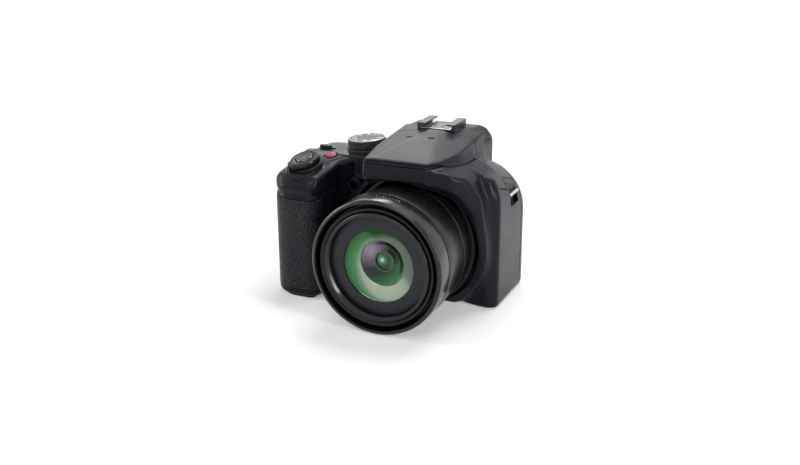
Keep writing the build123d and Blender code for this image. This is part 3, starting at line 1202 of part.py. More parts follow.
with BuildPart() as chassis:
    add(box_between((chassis_x - chamber_wall - bracket_thick, chassis_front_y, chassis_low_z),
                    (chassis_high_x, chassis_back_y, chassis_high_z)))
    add(box_between((-shelf_x, chassis_front_y, chassis_high_z), (shelf_x, shelf_y, chassis_high_z + shelf_thick)))
    for side in (-1, 1):
        add(box_between((side * chassis_foot_x - chassis_foot / 2, chassis_front_y - shelf_thick, wall),
                        (side * chassis_foot_x + chassis_foot / 2, chassis_back_y, chassis_low_z)))
        for rise in (-post_spread, post_spread):
            add(rod((side * post_spread, plate_back_y, lens_z + rise),
                    (side * post_spread, chassis_front_y, lens_z + rise), post_r))
save(chassis.part, "chassis")

board_front_y = chassis_back_y
with BuildPart() as main_board:
    add(box_between((board_low_x, board_front_y, board_low_z), (board_high_x, board_front_y + board_thick, board_high_z)))
    for x, z in ((-chip_x, chip_z), (chip_x, chip_z), (0, 2 * chip_z + chip)):
        add(box_between((x - chip / 2, board_front_y + board_thick, z),
                        (x + chip / 2, board_front_y + board_thick + chip_thick, z + chip)))
save(main_board.part, "main_board")

save(box_between((-sensor_x / 2, plate_back_y, lens_z - sensor_z / 2),
                 (sensor_x / 2, chassis_front_y, lens_z + sensor_z / 2)), "image_sensor")

finder_z = chassis_high_z + shelf_thick
with BuildPart() as evf_module:
    add(box_between((-finder_x, finder_front_y, finder_z),
                    (finder_x, hood_rear_y - wall - fit, finder_z + finder_high)))
save(evf_module.part, "evf_module")
save(rounded_bar(eye_plane, ocular_x, ocular_high, eye_round, -wall - fit, ocular_thick - wall - fit), "evf_lens")

save(rod((capacitor_x, capacitor_front_y, wall + play + capacitor_r),
         (capacitor_x, capacitor_back_y, wall + play + capacitor_r), capacitor_r), "flash_capacitor")
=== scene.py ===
"""Looks of a superzoom bridge camera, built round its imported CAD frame.

Lengths are millimetres up to the moment a mesh is written, and metres from there on.
Frame: +X is the camera's own left, the lens looks along -Y, +Z is up, the origin is the tripod socket.
"""

import logging
import math
from dataclasses import dataclass, field
from enum import Enum

import bpy
import numpy as np
from mathutils import Matrix


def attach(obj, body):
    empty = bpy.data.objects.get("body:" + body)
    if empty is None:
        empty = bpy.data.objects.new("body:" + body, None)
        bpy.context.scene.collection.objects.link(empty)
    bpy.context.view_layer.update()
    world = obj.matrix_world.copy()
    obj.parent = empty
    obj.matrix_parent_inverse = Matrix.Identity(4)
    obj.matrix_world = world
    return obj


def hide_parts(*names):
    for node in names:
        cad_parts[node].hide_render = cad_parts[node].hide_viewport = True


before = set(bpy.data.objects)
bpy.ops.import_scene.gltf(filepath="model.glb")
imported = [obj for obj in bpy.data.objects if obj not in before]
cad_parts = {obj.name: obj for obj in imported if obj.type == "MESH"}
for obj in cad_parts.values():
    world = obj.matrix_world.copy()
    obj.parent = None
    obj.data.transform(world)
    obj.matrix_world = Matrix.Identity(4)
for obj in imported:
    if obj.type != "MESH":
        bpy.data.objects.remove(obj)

MM = 0.001                                  # metres in a millimetre
LOG = logging.getLogger("camera")
LENS_Z = 36.6                               # height of the lens axis
LEFT_X, RIGHT_X, BACK_Y = 47.0, -83.2, 27.5  # where the casing ends
FAR = 200.0                                 # stands for beyond reach

Vector = tuple[float, float, float]
Corner = tuple[tuple[float, float], float]  # a point of an outline and the radius that rounds it


def linear(code: str) -> tuple[float, float, float, float]:
    """Turns an sRGB hex colour into the linear values that a shader takes.

    Args:
        code: Six hex digits with a leading #.

    Returns:
        Red, green, blue and an alpha of one.
    """
    parts = [int(code[i:i + 2], 16) / 255 for i in (1, 3, 5)]
    return (*[p / 12.92 if p <= 0.04045 else ((p + 0.055) / 1.055) ** 2.4 for p in parts], 1.0)


def placed(name: str, data: bpy.types.ID) -> bpy.types.Object:
    """A new object of that data in the scene."""
    made = bpy.data.objects.new(name, data)
    bpy.context.scene.collection.objects.link(made)
    return made


# Finishes


class Tree:
    """The shader nodes of a material or of the world."""

    def __init__(self, owner: bpy.types.Material | bpy.types.World) -> None:
        """Empties the owner's tree, but for its output."""
        owner.use_nodes = True
        self.owner = owner
        self.nodes, self.wires = owner.node_tree.nodes, owner.node_tree.links
        self.nodes.clear()
        kind = "World" if isinstance(owner, bpy.types.World) else "Material"
        self.out = self.nodes.new("ShaderNodeOutput" + kind)

    def add(self, kind: str, links: dict | None = None, **settings: object) -> bpy.types.Node:
        """Adds a node with its settings and links.

        Args:
            kind: Node type without its ShaderNode prefix.
            links: Input name or number to a value or to another node's output socket.
            settings: Properties of the node itself.

        Returns:
            The new node.
        """
        node = self.nodes.new("ShaderNode" + kind)
        for key, value in settings.items():
            setattr(node, key, value)
        for key, value in (links or {}).items():
            if isinstance(value, bpy.types.NodeSocket):
                self.wires.new(value, node.inputs[key])
            else:
                node.inputs[key].default_value = value
        return node

    def noise(self, place: bpy.types.NodeSocket, size: float, detail: float,
              **links: float) -> bpy.types.Node:
        """Adds a noise.

        Args:
            place: Coordinates in metres.
            size: Millimetres from one grain to the next.
            detail: Finer layers on top.
            links: More inputs by name.

        Returns:
            The node.
        """
        return self.add("TexNoise", {"Vector": place, "Scale": 1 / (size * MM), "Detail": detail, **links})

    def ranged(self, value: bpy.types.NodeSocket, source: tuple[float, float], target: tuple[float, float],
               **settings: object) -> bpy.types.NodeSocket:
        """Carries a value from one range to another and holds it at both ends.

        Args:
            value: The value.
            source: Its own range.
            target: The range that it is carried to.
            settings: Properties of the node.

        Returns:
            The new value's socket.
        """
        return self.add("MapRange", {0: value, 1: source[0], 2: source[1], 3: target[0], 4: target[1]},
                        **settings).outputs[0]

    def ramp(self, source: bpy.types.NodeSocket, stops: list[tuple[float, str]]) -> bpy.types.NodeSocket:
        """Colours a value by stops.

        Args:
            source: The value from zero to one.
            stops: Places and hex colours in order.

        Returns:
            The colour socket.
        """
        node = self.add("ValToRGB", {0: source})
        line = node.color_ramp.elements
        while len(line) < len(stops):
            line.new(0.5)
        for element, (place, code) in zip(line, stops):
            element.position = place
            element.color = linear(code)
        return node.outputs["Color"]

    def off_axis(self, place: bpy.types.NodeSocket, x: float, z: float) -> bpy.types.NodeSocket:
        """Distance from a line along Y, given by its millimetres beside and over the lens axis."""
        move = (-x * MM, 0, -(LENS_Z + z) * MM)
        flat = self.add("Mapping", {"Vector": place, "Location": move, "Scale": (1, 0, 1)})
        return self.add("VectorMath", {0: flat.outputs[0]}, operation="LENGTH").outputs["Value"]

    def seen(self) -> bpy.types.NodeSocket:
        """One for camera, glossy and transmission rays, and zero for all others."""
        path = self.add("LightPath")
        either = path.outputs["Is Camera Ray"]
        for other in ("Is Glossy Ray", "Is Transmission Ray"):
            either = self.add("Math", {0: either, 1: path.outputs[other]}, operation="MAXIMUM").outputs[0]
        return either

    def finish(self, shader: bpy.types.Node) -> bpy.types.Material | bpy.types.World:
        """Joins the shader to the output and gives the tree's owner."""
        self.wires.new(shader.outputs[0], self.out.inputs["Surface"])
        return self.owner


class Grain(Enum):
    """Kinds of fine relief that a surface has."""

    SPARK = "spark"
    LEATHER = "leather"
    TURNED = "turned"
    BRUSHED = "brushed"


@dataclass(frozen=True)
class Finish:
    """How one material looks: its colours, gloss and fine relief."""

    name: str
    colour: str
    roughness: float
    metallic: float = 0.0
    ior: float = 1.5
    coat: float = 0.0
    sheen: float = 0.0
    worn: str = ""               # second colour of its slow variation
    grain: Grain = Grain.SPARK
    grain_size: float = 0.3      # mm from grain to grain
    relief: float = 0.01         # mm from low to high
    spread: float = 0.08         # how far the roughness varies
    patch: float = 18.0          # mm from one shade to the next
    coat_roughness: float = 0.12
    sheen_roughness: float = 0.4
    bend: float = 0.9            # how far a leather cell's border strays, in cells
    valley: float = 0.35         # half width of the valley between two cells, in cells
    stretch: float = 0.04        # width of a brushed scratch over its length

    def height(self, tree: Tree, place: bpy.types.NodeSocket) -> bpy.types.NodeSocket:
        """The pattern of the relief.

        Args:
            tree: The material's nodes.
            place: Object coordinates.

        Returns:
            The socket with its height, from zero to one.
        """
        if self.grain is Grain.LEATHER:
            # Cells with soft valleys between them, their borders bent by a noise
            stray = tree.noise(place, self.grain_size / 0.6, 2.0).outputs["Color"]
            shift = tree.add("VectorMath", {0: stray, 1: (self.grain_size * MM * self.bend,) * 3},
                             operation="MULTIPLY")
            moved = tree.add("VectorMath", {0: place, 1: shift.outputs[0]}, operation="ADD")
            cell = tree.add("TexVoronoi", {"Vector": moved.outputs[0], "Scale": 1 / (self.grain_size * MM)},
                            feature="DISTANCE_TO_EDGE")
            return tree.ranged(cell.outputs[0], (0.0, self.valley), (0.0, 1.0),
                               interpolation_type="SMOOTHSTEP")
        if self.grain is Grain.TURNED:
            # Rings about the lens axis, as a lathe leaves them
            wave = tree.add("Math", {0: tree.off_axis(place, 0, 0), 1: 1 / (self.grain_size * MM)},
                            operation="MULTIPLY")
            return tree.add("TexNoise", {"W": wave.outputs[0], "Scale": 1.0, "Detail": 2.0},
                            noise_dimensions="1D").outputs[0]
        if self.grain is Grain.BRUSHED:
            # Scratches drawn out along X
            drawn = tree.add("Mapping", {"Vector": place, "Scale": (self.stretch, 1, 1)})
            return tree.noise(drawn.outputs[0], self.grain_size, 3.0).outputs[0]
        return tree.noise(place, self.grain_size, 2.0, Roughness=0.6).outputs[0]

    def material(self) -> bpy.types.Material:
        """Builds the material, its patterns in real sizes on Object coordinates."""
        tree = Tree(bpy.data.materials.new(self.name))
        place = tree.add("TexCoord").outputs["Object"]
        shade = tree.noise(place, self.patch, 3.0).outputs[0]
        half = self.spread / 2
        limits = (max(0.02, self.roughness - half), min(1.0, self.roughness + half))
        rough = tree.ranged(shade, (0.3, 0.7), limits)
        bump = tree.add("Bump", {"Height": self.height(tree, place), "Distance": self.relief * MM,
                                 "Strength": 1.0})
        return tree.finish(tree.add("BsdfPrincipled", {
            "Base Color": tree.ramp(shade, [(0.35, self.colour), (0.65, self.worn)]),
            "Metallic": self.metallic, "IOR": self.ior, "Roughness": rough, "Normal": bump.outputs[0],
            "Coat Weight": self.coat, "Coat Roughness": self.coat_roughness,
            "Sheen Weight": self.sheen, "Sheen Roughness": self.sheen_roughness}))


@dataclass(frozen=True)
class Glass:
    """Clear or tinted glass, thin enough to be a mix of a clear body and a coated face."""

    name: str
    tint: str
    coating: str
    gloss: float = 0.06
    cover: float = 0.25          # share of the coated face in the mix when it is seen straight on
    smear: float = 6.0           # mm from one smear to the next

    def material(self) -> bpy.types.Material:
        """Builds the glass: light passes by its tint, and reflects in the colour of its coating."""
        tree = Tree(bpy.data.materials.new(self.name))
        clear = tree.add("BsdfTransparent", {"Color": linear(self.tint)})
        smear = tree.noise(tree.add("TexCoord").outputs["Object"], self.smear, 4.0).outputs[0]
        rough = tree.ranged(smear, (0.3, 0.8), (self.gloss * 0.5, self.gloss * 1.4))
        shine = tree.add("BsdfGlossy", {"Color": linear(self.coating), "Roughness": rough})
        edge = tree.add("LayerWeight", {"Blend": self.cover})
        return tree.finish(tree.add("MixShader", {0: edge.outputs["Fresnel"], 1: clear.outputs[0],
                                                  2: shine.outputs[0]}))


@dataclass(frozen=True)
class PaintedReflection:
    """Multi-coated glass over a dark cell, its reflections painted: a colour that shifts with the distance
    from one place on it.
    """

    name: str
    stops: tuple[tuple[float, str], ...]    # distance in mm and colour
    centre: tuple[float, float]             # that place, in mm beside and over the lens axis
    roughness: float = 0.16
    metallic: float = 0.4                   # share of the light that mirrors in the coating's colour
    coat: float = 0.6
    coat_roughness: float = 0.04

    def material(self) -> bpy.types.Material:
        """Builds the painted reflections on Object coordinates, clear-coated for its sharp highlights."""
        tree = Tree(bpy.data.materials.new(self.name))
        far = tree.off_axis(tree.add("TexCoord").outputs["Object"], *self.centre)
        reach = self.stops[-1][0]
        share = tree.add("Math", {0: far, 1: 1 / (reach * MM)}, operation="MULTIPLY")
        # Painted reflection: colour rings round a fixed place, whatever the lamps do
        colour = tree.ramp(share.outputs[0], [(d / reach, code) for d, code in self.stops])
        return tree.finish(tree.add("BsdfPrincipled", {
            "Base Color": colour, "Roughness": self.roughness, "IOR": 1.5, "Metallic": self.metallic,
            "Coat Weight": self.coat, "Coat Roughness": self.coat_roughness}))


# Moulded ABS-polycarbonate, spark-eroded mould: satin, with a faint grain that breaks up highlights
BODY = Finish("moulded_polycarbonate", "#11141a", 0.3, ior=1.25, worn="#151820", grain_size=0.45,
              relief=0.012)
# The flash head's plastic: the body's, with a drier mould texture, coloured lighter as painted light for the
# light from above
COVER_PAINTED_LIGHT = Finish("polycarbonate_painted_light", "#1d2127", 0.34, ior=1.22, worn="#21252b", grain_size=0.5, relief=0.014)
# Moulded rubber with a leather grain: broad soft highlight, pits read dark
RUBBER = Finish("grained_rubber", "#111318", 0.42, ior=1.3, worn="#15181e", grain=Grain.LEATHER,
                grain_size=1.7, relief=0.34, spread=0.12)
SOFT_RUBBER = Finish("plain_rubber", "#141518", 0.7, worn="#1a1b1e", sheen=0.2, grain_size=0.6)
# Turned aluminium under satin black anodising: highlights drawn out round the axis
BARREL = Finish("anodised_aluminium", "#0d0e11", 0.28, ior=1.3, worn="#111215", coat=0.1, grain=Grain.TURNED,
                grain_size=0.25, relief=0.004)
RIM = Finish("painted_rim", "#0a0b0d", 0.24, ior=1.36, worn="#0e0f12", coat=0.25, grain=Grain.TURNED,
             relief=0.003)
NAME_RING = Finish("satin_ring", "#12141b", 0.36, ior=1.4, worn="#161922", grain=Grain.TURNED, relief=0.003)
CONTROL = Finish("satin_nylon", "#15171a", 0.34, ior=1.42, worn="#1a1c1f", relief=0.008)
# The dial's knurl, coloured lighter than the other controls: a painted sheen for the glints on its knurl
KNURL_PAINTED_SHEEN = Finish("knurled_nylon_painted_sheen", "#3a3c40", 0.3, worn="#46484c", relief=0.006)
SPUN = Finish("spun_aluminium", "#4c4e53", 0.26, metallic=1.0, worn="#64666b", grain_size=0.2, relief=0.004)
RED = Finish("red_acetal", "#7d1626", 0.4, worn="#8a1c2c", relief=0.005)
SHOE = Finish("blackened_steel", "#26272a", 0.32, metallic=0.35, worn="#3a3b3e", grain=Grain.BRUSHED,
              grain_size=0.25, relief=0.004)
BRIGHT = Finish("plated_steel", "#d4d6da", 0.16, metallic=1.0, worn="#c2c4c8", grain=Grain.BRUSHED,
                relief=0.002)
STEEL = Finish("bare_steel", "#9b9da1", 0.34, metallic=1.0, worn="#84868a", grain=Grain.BRUSHED, relief=0.004)
DARK = Finish("black_polycarbonate", "#0c0c0e", 0.55, worn="#111114", grain_size=0.5, relief=0.008)
BOARD = Finish("solder_mask", "#14502f", 0.35, worn="#0f4227", grain_size=0.8, relief=0.03)
WRAP = Finish("battery_wrap", "#2a2c31", 0.34, worn="#303238", grain_size=0.6, relief=0.006)
WHITE_INK = Finish("white_ink", "#e8e8ea", 0.45, worn="#dcdcdf", relief=0.002)
BRASS_INK = Finish("brass_ink", "#a98a52", 0.4, metallic=0.4, worn="#8f7444", relief=0.002)
PANEL = Finish("display_film", "#0b0d12", 0.12, worn="#0d1016", coat=0.6, grain_size=0.4, relief=0.0)
# Pale rings on the inner elements' edges: a painted highlight
EDGE_PAINTED_HIGHLIGHT = Finish("element_edge_painted_highlight", "#a9b9a6", 0.3, worn="#98a896", relief=0.002)
FRONT_GLASS = Glass("coated_glass", "#f2f6f4", "#b9c9c0", cover=0.12)
INNER_GLASS = Glass("inner_glass", "#e6ece8", "#9ab39c", cover=0.3)
WINDOW = Glass("clear_acrylic", "#e9edf2", "#e9edf2", gloss=0.1, cover=0.2)
SCREEN_GLASS = Glass("screen_glass", "#5c6068", "#cfd4da", gloss=0.04, cover=0.2)
LAMP_GLASS = Glass("lamp_lens", "#241a1c", "#7f7678", gloss=0.1, cover=0.3)
# Magnesium-fluoride coatings, their reflections painted: green rings, and cream where they would face the
# light, fixed round one place whatever the lamps do; the core's pale middle is a painted highlight
OUTER_PAINTED_REFLECTION = PaintedReflection("outer_painted_reflection", (
    (14.0, "#e9ead9"), (16.6, "#dfe2d0"), (18.2, "#9fb79a"), (20.0, "#4fa25a"), (23.0, "#2f8a40"),
    (25.5, "#123b1c")), (4.5, -2.5))
INNER_PAINTED_REFLECTION = PaintedReflection("inner_painted_reflection", (
    (1.5, "#c3a5c0"), (7.0, "#85637f"), (11.5, "#2b2430"), (15.0, "#15241a"), (20.0, "#2f7a38"),
    (24.0, "#5fae5f")), (-8.0, 7.0))
CORE_PAINTED_REFLECTION = PaintedReflection("core_painted_reflection", (
    (0.6, "#f1fff8"), (1.6, "#4f9a74"), (3.6, "#1d4a30"), (6.5, "#2f7a48")), (-1.2, 0.8))


# Surfaces


@dataclass(frozen=True)
class Place:
    """A local frame: its origin and three unit axes, as rows."""

    origin: Vector = (0.0, 0.0, 0.0)
    axes: tuple[Vector, Vector, Vector] = ((1, 0, 0), (0, 1, 0), (0, 0, 1))

    def put(self, points: np.ndarray) -> np.ndarray:
        """Local points in the camera's frame: origin plus each coordinate times its axis."""
        return np.asarray(self.origin) + points @ np.asarray(self.axes, float)


@dataclass
class Skin:
    """Points in millimetres, and faces in arrays of one corner count each."""

    points: np.ndarray
    faces: list[np.ndarray]

    def __add__(self, other: "Skin") -> "Skin":
        """Both surfaces in one."""
        shifted = [face + len(self.points) for face in other.faces]
        return Skin(np.concatenate([self.points, other.points]), self.faces + shifted)

    def outward(self) -> "Skin":
        """The surface turned so that its enclosed volume, a sum of tetrahedra, is positive."""
        triangles = np.concatenate([np.stack([f[:, 0], f[:, i], f[:, i + 1]], 1)
                                    for f in self.faces for i in range(1, f.shape[1] - 1)])
        a, b, c = (self.points[i] for i in triangles.T)
        if np.einsum("ij,ij->i", a, np.cross(b, c)).sum() < 0:
            return Skin(self.points, [face[:, ::-1] for face in self.faces])
        return self

    def at(self, place: Place) -> "Skin":
        """The surface carried into a frame, facing outwards."""
        return Skin(place.put(self.points), self.faces).outward()


def facing(origin: Vector, normal: Vector, across: Vector = (1, 0, 0)) -> Place:
    """A local frame from its normal.

    Args:
        origin: Where it lies.
        normal: Its third axis.
        across: About where its first axis points.

    Returns:
        The frame, its axes square to each other.
    """
    z = np.asarray(normal, float) / np.linalg.norm(normal)
    x = np.asarray(across, float) - z * np.dot(across, z)
    x /= np.linalg.norm(x)
    return Place(origin, (tuple(x), tuple(np.cross(z, x)), tuple(z)))


LENS = facing((0, 0, LENS_Z), (0, -1, 0))


def soften(corners: list[Corner], closed: bool = True, steps: int = 6) -> np.ndarray:
    """Rounds the corners of a polygon.

    Each corner of radius r becomes an arc between the two points that lie r / tan(half the inner angle)
    along its sides, centred on the bisector. Where a side is too short, the radius shrinks.

    Args:
        corners: Points with their radii.
        closed: Whether the last point joins the first.
        steps: Points along each arc, less one.

    Returns:
        The outline's points.
    """
    most = 0.49   # share of a side that one arc may take
    spots = np.array([p for p, _ in corners], float)
    out = []
    for i, (spot, (_, radius)) in enumerate(zip(spots, corners)):
        if not radius or (not closed and i in (0, len(corners) - 1)):
            out.append(spot[None])
            continue
        back, on = spots[i - 1] - spot, spots[(i + 1) % len(spots)] - spot
        back_length, on_length = np.linalg.norm(back), np.linalg.norm(on)
        back, on = back / back_length, on / on_length
        half = math.acos(np.clip(back @ on, -1, 1)) / 2
        if math.pi / 2 - half < 1e-3:
            out.append(spot[None])
            continue
        tangent = min(radius / math.tan(half), most * back_length, most * on_length)
        radius = tangent * math.tan(half)
        centre = spot + (back + on) / np.linalg.norm(back + on) * radius / math.sin(half)
        first, last = spot + back * tangent - centre, spot + on * tangent - centre
        start = math.atan2(first[1], first[0])
        turn = (math.atan2(last[1], last[0]) - start + math.pi) % (2 * math.pi) - math.pi
        angle = start + turn * np.linspace(0, 1, steps + 1)
        out.append(centre + radius * np.stack([np.cos(angle), np.sin(angle)], 1))
    return np.concatenate(out)


def bearings(count: int) -> np.ndarray:
    """Angles evenly round a full turn, in radians."""
    return 2 * np.pi * np.arange(count) / count


def rings(radius: np.ndarray, height: np.ndarray, turns: int) -> np.ndarray:
    """Points evenly round an axis: (radius cos t, radius sin t, height) at each angle t.

    Args:
        radius: One column of radii, or a row of them for each height.
        height: The heights.
        turns: Points in a row.

    Returns:
        The points, row after row.
    """
    angle, high = bearings(turns), np.repeat(height[:, None], turns, 1)
    return np.stack([radius * np.cos(angle), radius * np.sin(angle), high], -1).reshape(-1, 3)


def weave(rows: int, turns: int, closed: bool = False) -> np.ndarray:
    """Quads between rows of points that each run once round.

    Args:
        rows: How many rows.
        turns: Points in a row.
        closed: Whether the last row joins the first.

    Returns:
        The quads' point numbers.
    """
    number = np.arange(rows * turns).reshape(rows, turns)
    after, beside = np.roll(number, -1, 0), np.roll(number, -1, 1)
    quads = np.stack([number, beside, np.roll(beside, -1, 0), after], -1)
    return (quads if closed else quads[:-1]).reshape(-1, 4)


def capped(points: np.ndarray, turns: int, low: Vector, high: Vector) -> Skin:
    """Rows of points that run round, with a fan over each end.

    Args:
        points: The rows, one after another.
        turns: Points in a row.
        low: Hub of the first row's fan.
        high: Hub of the last row's fan.

    Returns:
        The closed surface.
    """
    hub = len(points)
    number = np.arange(hub).reshape(-1, turns)
    beside = np.roll(number, -1, 1)
    under = np.stack([np.full(turns, hub), beside[0], number[0]], -1)
    over = np.stack([np.full(turns, hub + 1), number[-1], beside[-1]], -1)
    return Skin(np.concatenate([points, [low, high]]), [weave(len(number), turns), under, over])


def lathe(profile: np.ndarray, place: Place, turns: int = 160, closed: bool = False) -> Skin:
    """A surface of revolution.

    Args:
        profile: Rows of height and radius.
        place: Frame whose third axis is the axis of turning.
        turns: Steps round the axis.
        closed: Whether the profile is a ring, for a tube with a wall.

    Returns:
        The closed surface, facing outwards.
    """
    height, radius = profile[:, 0], np.maximum(profile[:, 1:], 0)
    points = rings(radius, height, turns)
    if closed:
        return Skin(points, [weave(len(profile), turns, True)]).at(place)
    return capped(points, turns, (0, 0, height[0]), (0, 0, height[-1])).at(place)


def turned(stations: list[Corner], steps: int = 4) -> Skin:
    """A ring about the lens axis from a closed section of (place along Y, radius) corners, edges rounded."""
    return lathe(soften(stations, True, steps) * (-1, 1), LENS, 192, closed=True)


def pillow(outline: np.ndarray, low: float, high: float, edge: float, place: Place, dome: float = 0.0,
           steps: int = 4) -> Skin:
    """A slab with a rounded upper edge and a slightly domed top.

    The outline is drawn in by edge times (1 - sin t) and raised to high - edge + edge times cos t, for t from
    a right angle to zero, and the top rises by dome times (1 - share squared) towards its middle.

    Args:
        outline: Convex closed outline in the frame's own plane.
        low: Height of the flat underside.
        high: Height of the top's rim.
        edge: Radius of the upper edge.
        place: Frame that it stands on.
        dome: Extra height in the middle.
        steps: Rows on the edge.

    Returns:
        The closed surface.
    """
    along = np.roll(outline, -1, 0) - np.roll(outline, 1, 0)
    along /= np.linalg.norm(along, axis=1)[:, None]
    out = np.stack([along[:, 1], -along[:, 0]], 1)
    middle = outline.mean(0)
    if ((outline - middle) * out).sum() < 0:
        out = -out
    rows = [(outline, low)] + [(outline - out * edge * (1 - math.sin(t)), high - edge + edge * math.cos(t))
                               for t in np.linspace(np.pi / 2, 0, steps + 1)]
    rim = rows[-1][0]
    rows += [(middle + (rim - middle) * s, high + dome * (1 - s * s)) for s in (0.8, 0.55, 0.28)]
    points = np.concatenate([np.column_stack([flat, np.full(len(flat), height)]) for flat, height in rows])
    return capped(points, len(outline), (*middle, low), (*middle, high + dome)).at(place)


def swept(section: np.ndarray, low: float, high: float) -> Skin:
    """A section in the (y, z) plane carried along X from low to high, its ends closed from their middles."""
    points = np.concatenate([np.column_stack([np.full(len(section), x), section]) for x in (low, high)])
    middle = section.mean(0)
    return capped(points, len(section), (low, *middle), (high, *middle)).outward()


def circle(radius: float, count: int) -> np.ndarray:
    """Points evenly round a circle."""
    return rings(np.array([[radius]]), np.zeros(1), count)[:, :2]


def bar(wide: float, high: float, corner: float) -> np.ndarray:
    """Outline of a rectangle with rounded corners."""
    w, h = wide / 2, high / 2
    return soften([((-w, -h), corner), ((w, -h), corner), ((w, h), corner), ((-w, h), corner)])


class Maker:
    """Writes meshes, dresses them and fixes them to the frame."""

    def __init__(self) -> None:
        """Starts with no materials made."""
        self.made: dict[str, bpy.types.Material] = {}

    def paint(self, finish: Finish | Glass | PaintedReflection) -> bpy.types.Material:
        """The material of a finish, made once."""
        if finish.name not in self.made:
            self.made[finish.name] = finish.material()
        return self.made[finish.name]

    def piece(self, name: str, skin: Skin, finish: Finish | Glass | PaintedReflection, body: str, slot: str, *nodes: str,
              sharp: float = 35.0) -> bpy.types.Object:
        """Makes one visible piece.

        Args:
            name: Its name.
            skin: Its surface.
            finish: Its finish.
            body: CAD body that it rides on.
            slot: Not used.
            nodes: CAD nodes that it stands for.
            sharp: Angle in degrees past which an edge is shown sharp.

        Returns:
            The new object.
        """
        mesh = bpy.data.meshes.new(name)
        counts = np.concatenate([np.full(len(face), face.shape[1]) for face in skin.faces])
        loops = np.concatenate([face.ravel() for face in skin.faces]).astype(np.int32)
        mesh.vertices.add(len(skin.points))
        mesh.vertices.foreach_set("co", (skin.points * MM).astype(np.float32).ravel())
        mesh.loops.add(len(loops))
        mesh.loops.foreach_set("vertex_index", loops)
        mesh.polygons.add(len(counts))
        starts = np.cumsum(counts) - counts
        mesh.polygons.foreach_set("loop_start", starts.astype(np.int32))
        mesh.polygons.foreach_set("use_smooth", np.ones(len(counts), bool))
        mesh.update(calc_edges=True)
        mesh.validate()
        mesh.set_sharp_from_angle(angle=math.radians(sharp))
        mesh.materials.append(self.paint(finish))
        piece = placed(name, mesh)
        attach(piece, body)
        if nodes:
            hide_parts(*nodes)
        LOG.info("%s: %d faces", name, len(counts))
        return piece

    def dress(self, finish: Finish | Glass | PaintedReflection, *nodes: str) -> None:
        """Gives CAD nodes that stay in view their material."""
        for name in nodes:
            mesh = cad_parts[name].data
            mesh.materials.clear()
            mesh.materials.append(self.paint(finish))


# The casing as a field of distances


def smooth_low(a: np.ndarray, b: np.ndarray, blend: float) -> np.ndarray:
    """The lesser of two fields, rounded: min(a, b) - blend h h / 4 with h = max(1 - |a - b| / blend, 0)."""
    gap = np.maximum(blend - np.abs(a - b), 0) / blend
    return np.minimum(a, b) - gap * gap * blend / 4


def smooth_high(a: np.ndarray, b: np.ndarray, blend: float) -> np.ndarray:
    """The greater of two fields, rounded in the same way."""
    return -smooth_low(-a, -b, blend)


def outline_distance(outline: np.ndarray, a: np.ndarray, b: np.ndarray) -> np.ndarray:
    """Signed distance to a closed outline, negative inside.

    It is the least distance to a side, and its sign is the parity of the sides that a ray along +a crosses.

    Args:
        outline: Corner points.
        a: First coordinates.
        b: Second coordinates, of the same shape.

    Returns:
        The distances, in that shape.
    """
    shape = np.broadcast(a, b).shape
    spots = np.stack([np.broadcast_to(v, shape).ravel() for v in (a, b)], 1).astype(np.float32)
    start = outline.astype(np.float32)
    run = np.roll(start, -1, 0) - start
    from_start = spots[:, None] - start[None]
    share = np.clip((from_start * run).sum(-1) / np.maximum((run * run).sum(-1), 1e-9), 0, 1)
    gap = from_start - share[..., None] * run
    least = np.sqrt((gap * gap).sum(-1).min(1))
    above = start[None, :, 1] > spots[:, None, 1]
    end_above = np.roll(above, -1, 1)
    with np.errstate(divide="ignore", invalid="ignore"):
        cross = start[:, 0] + run[:, 0] * (spots[:, None, 1] - start[:, 1]) / run[:, 1]
    inside = ((above != end_above) & (spots[:, None, 0] < cross)).sum(1) % 2 == 1
    return np.where(inside, -least, least).reshape(shape)


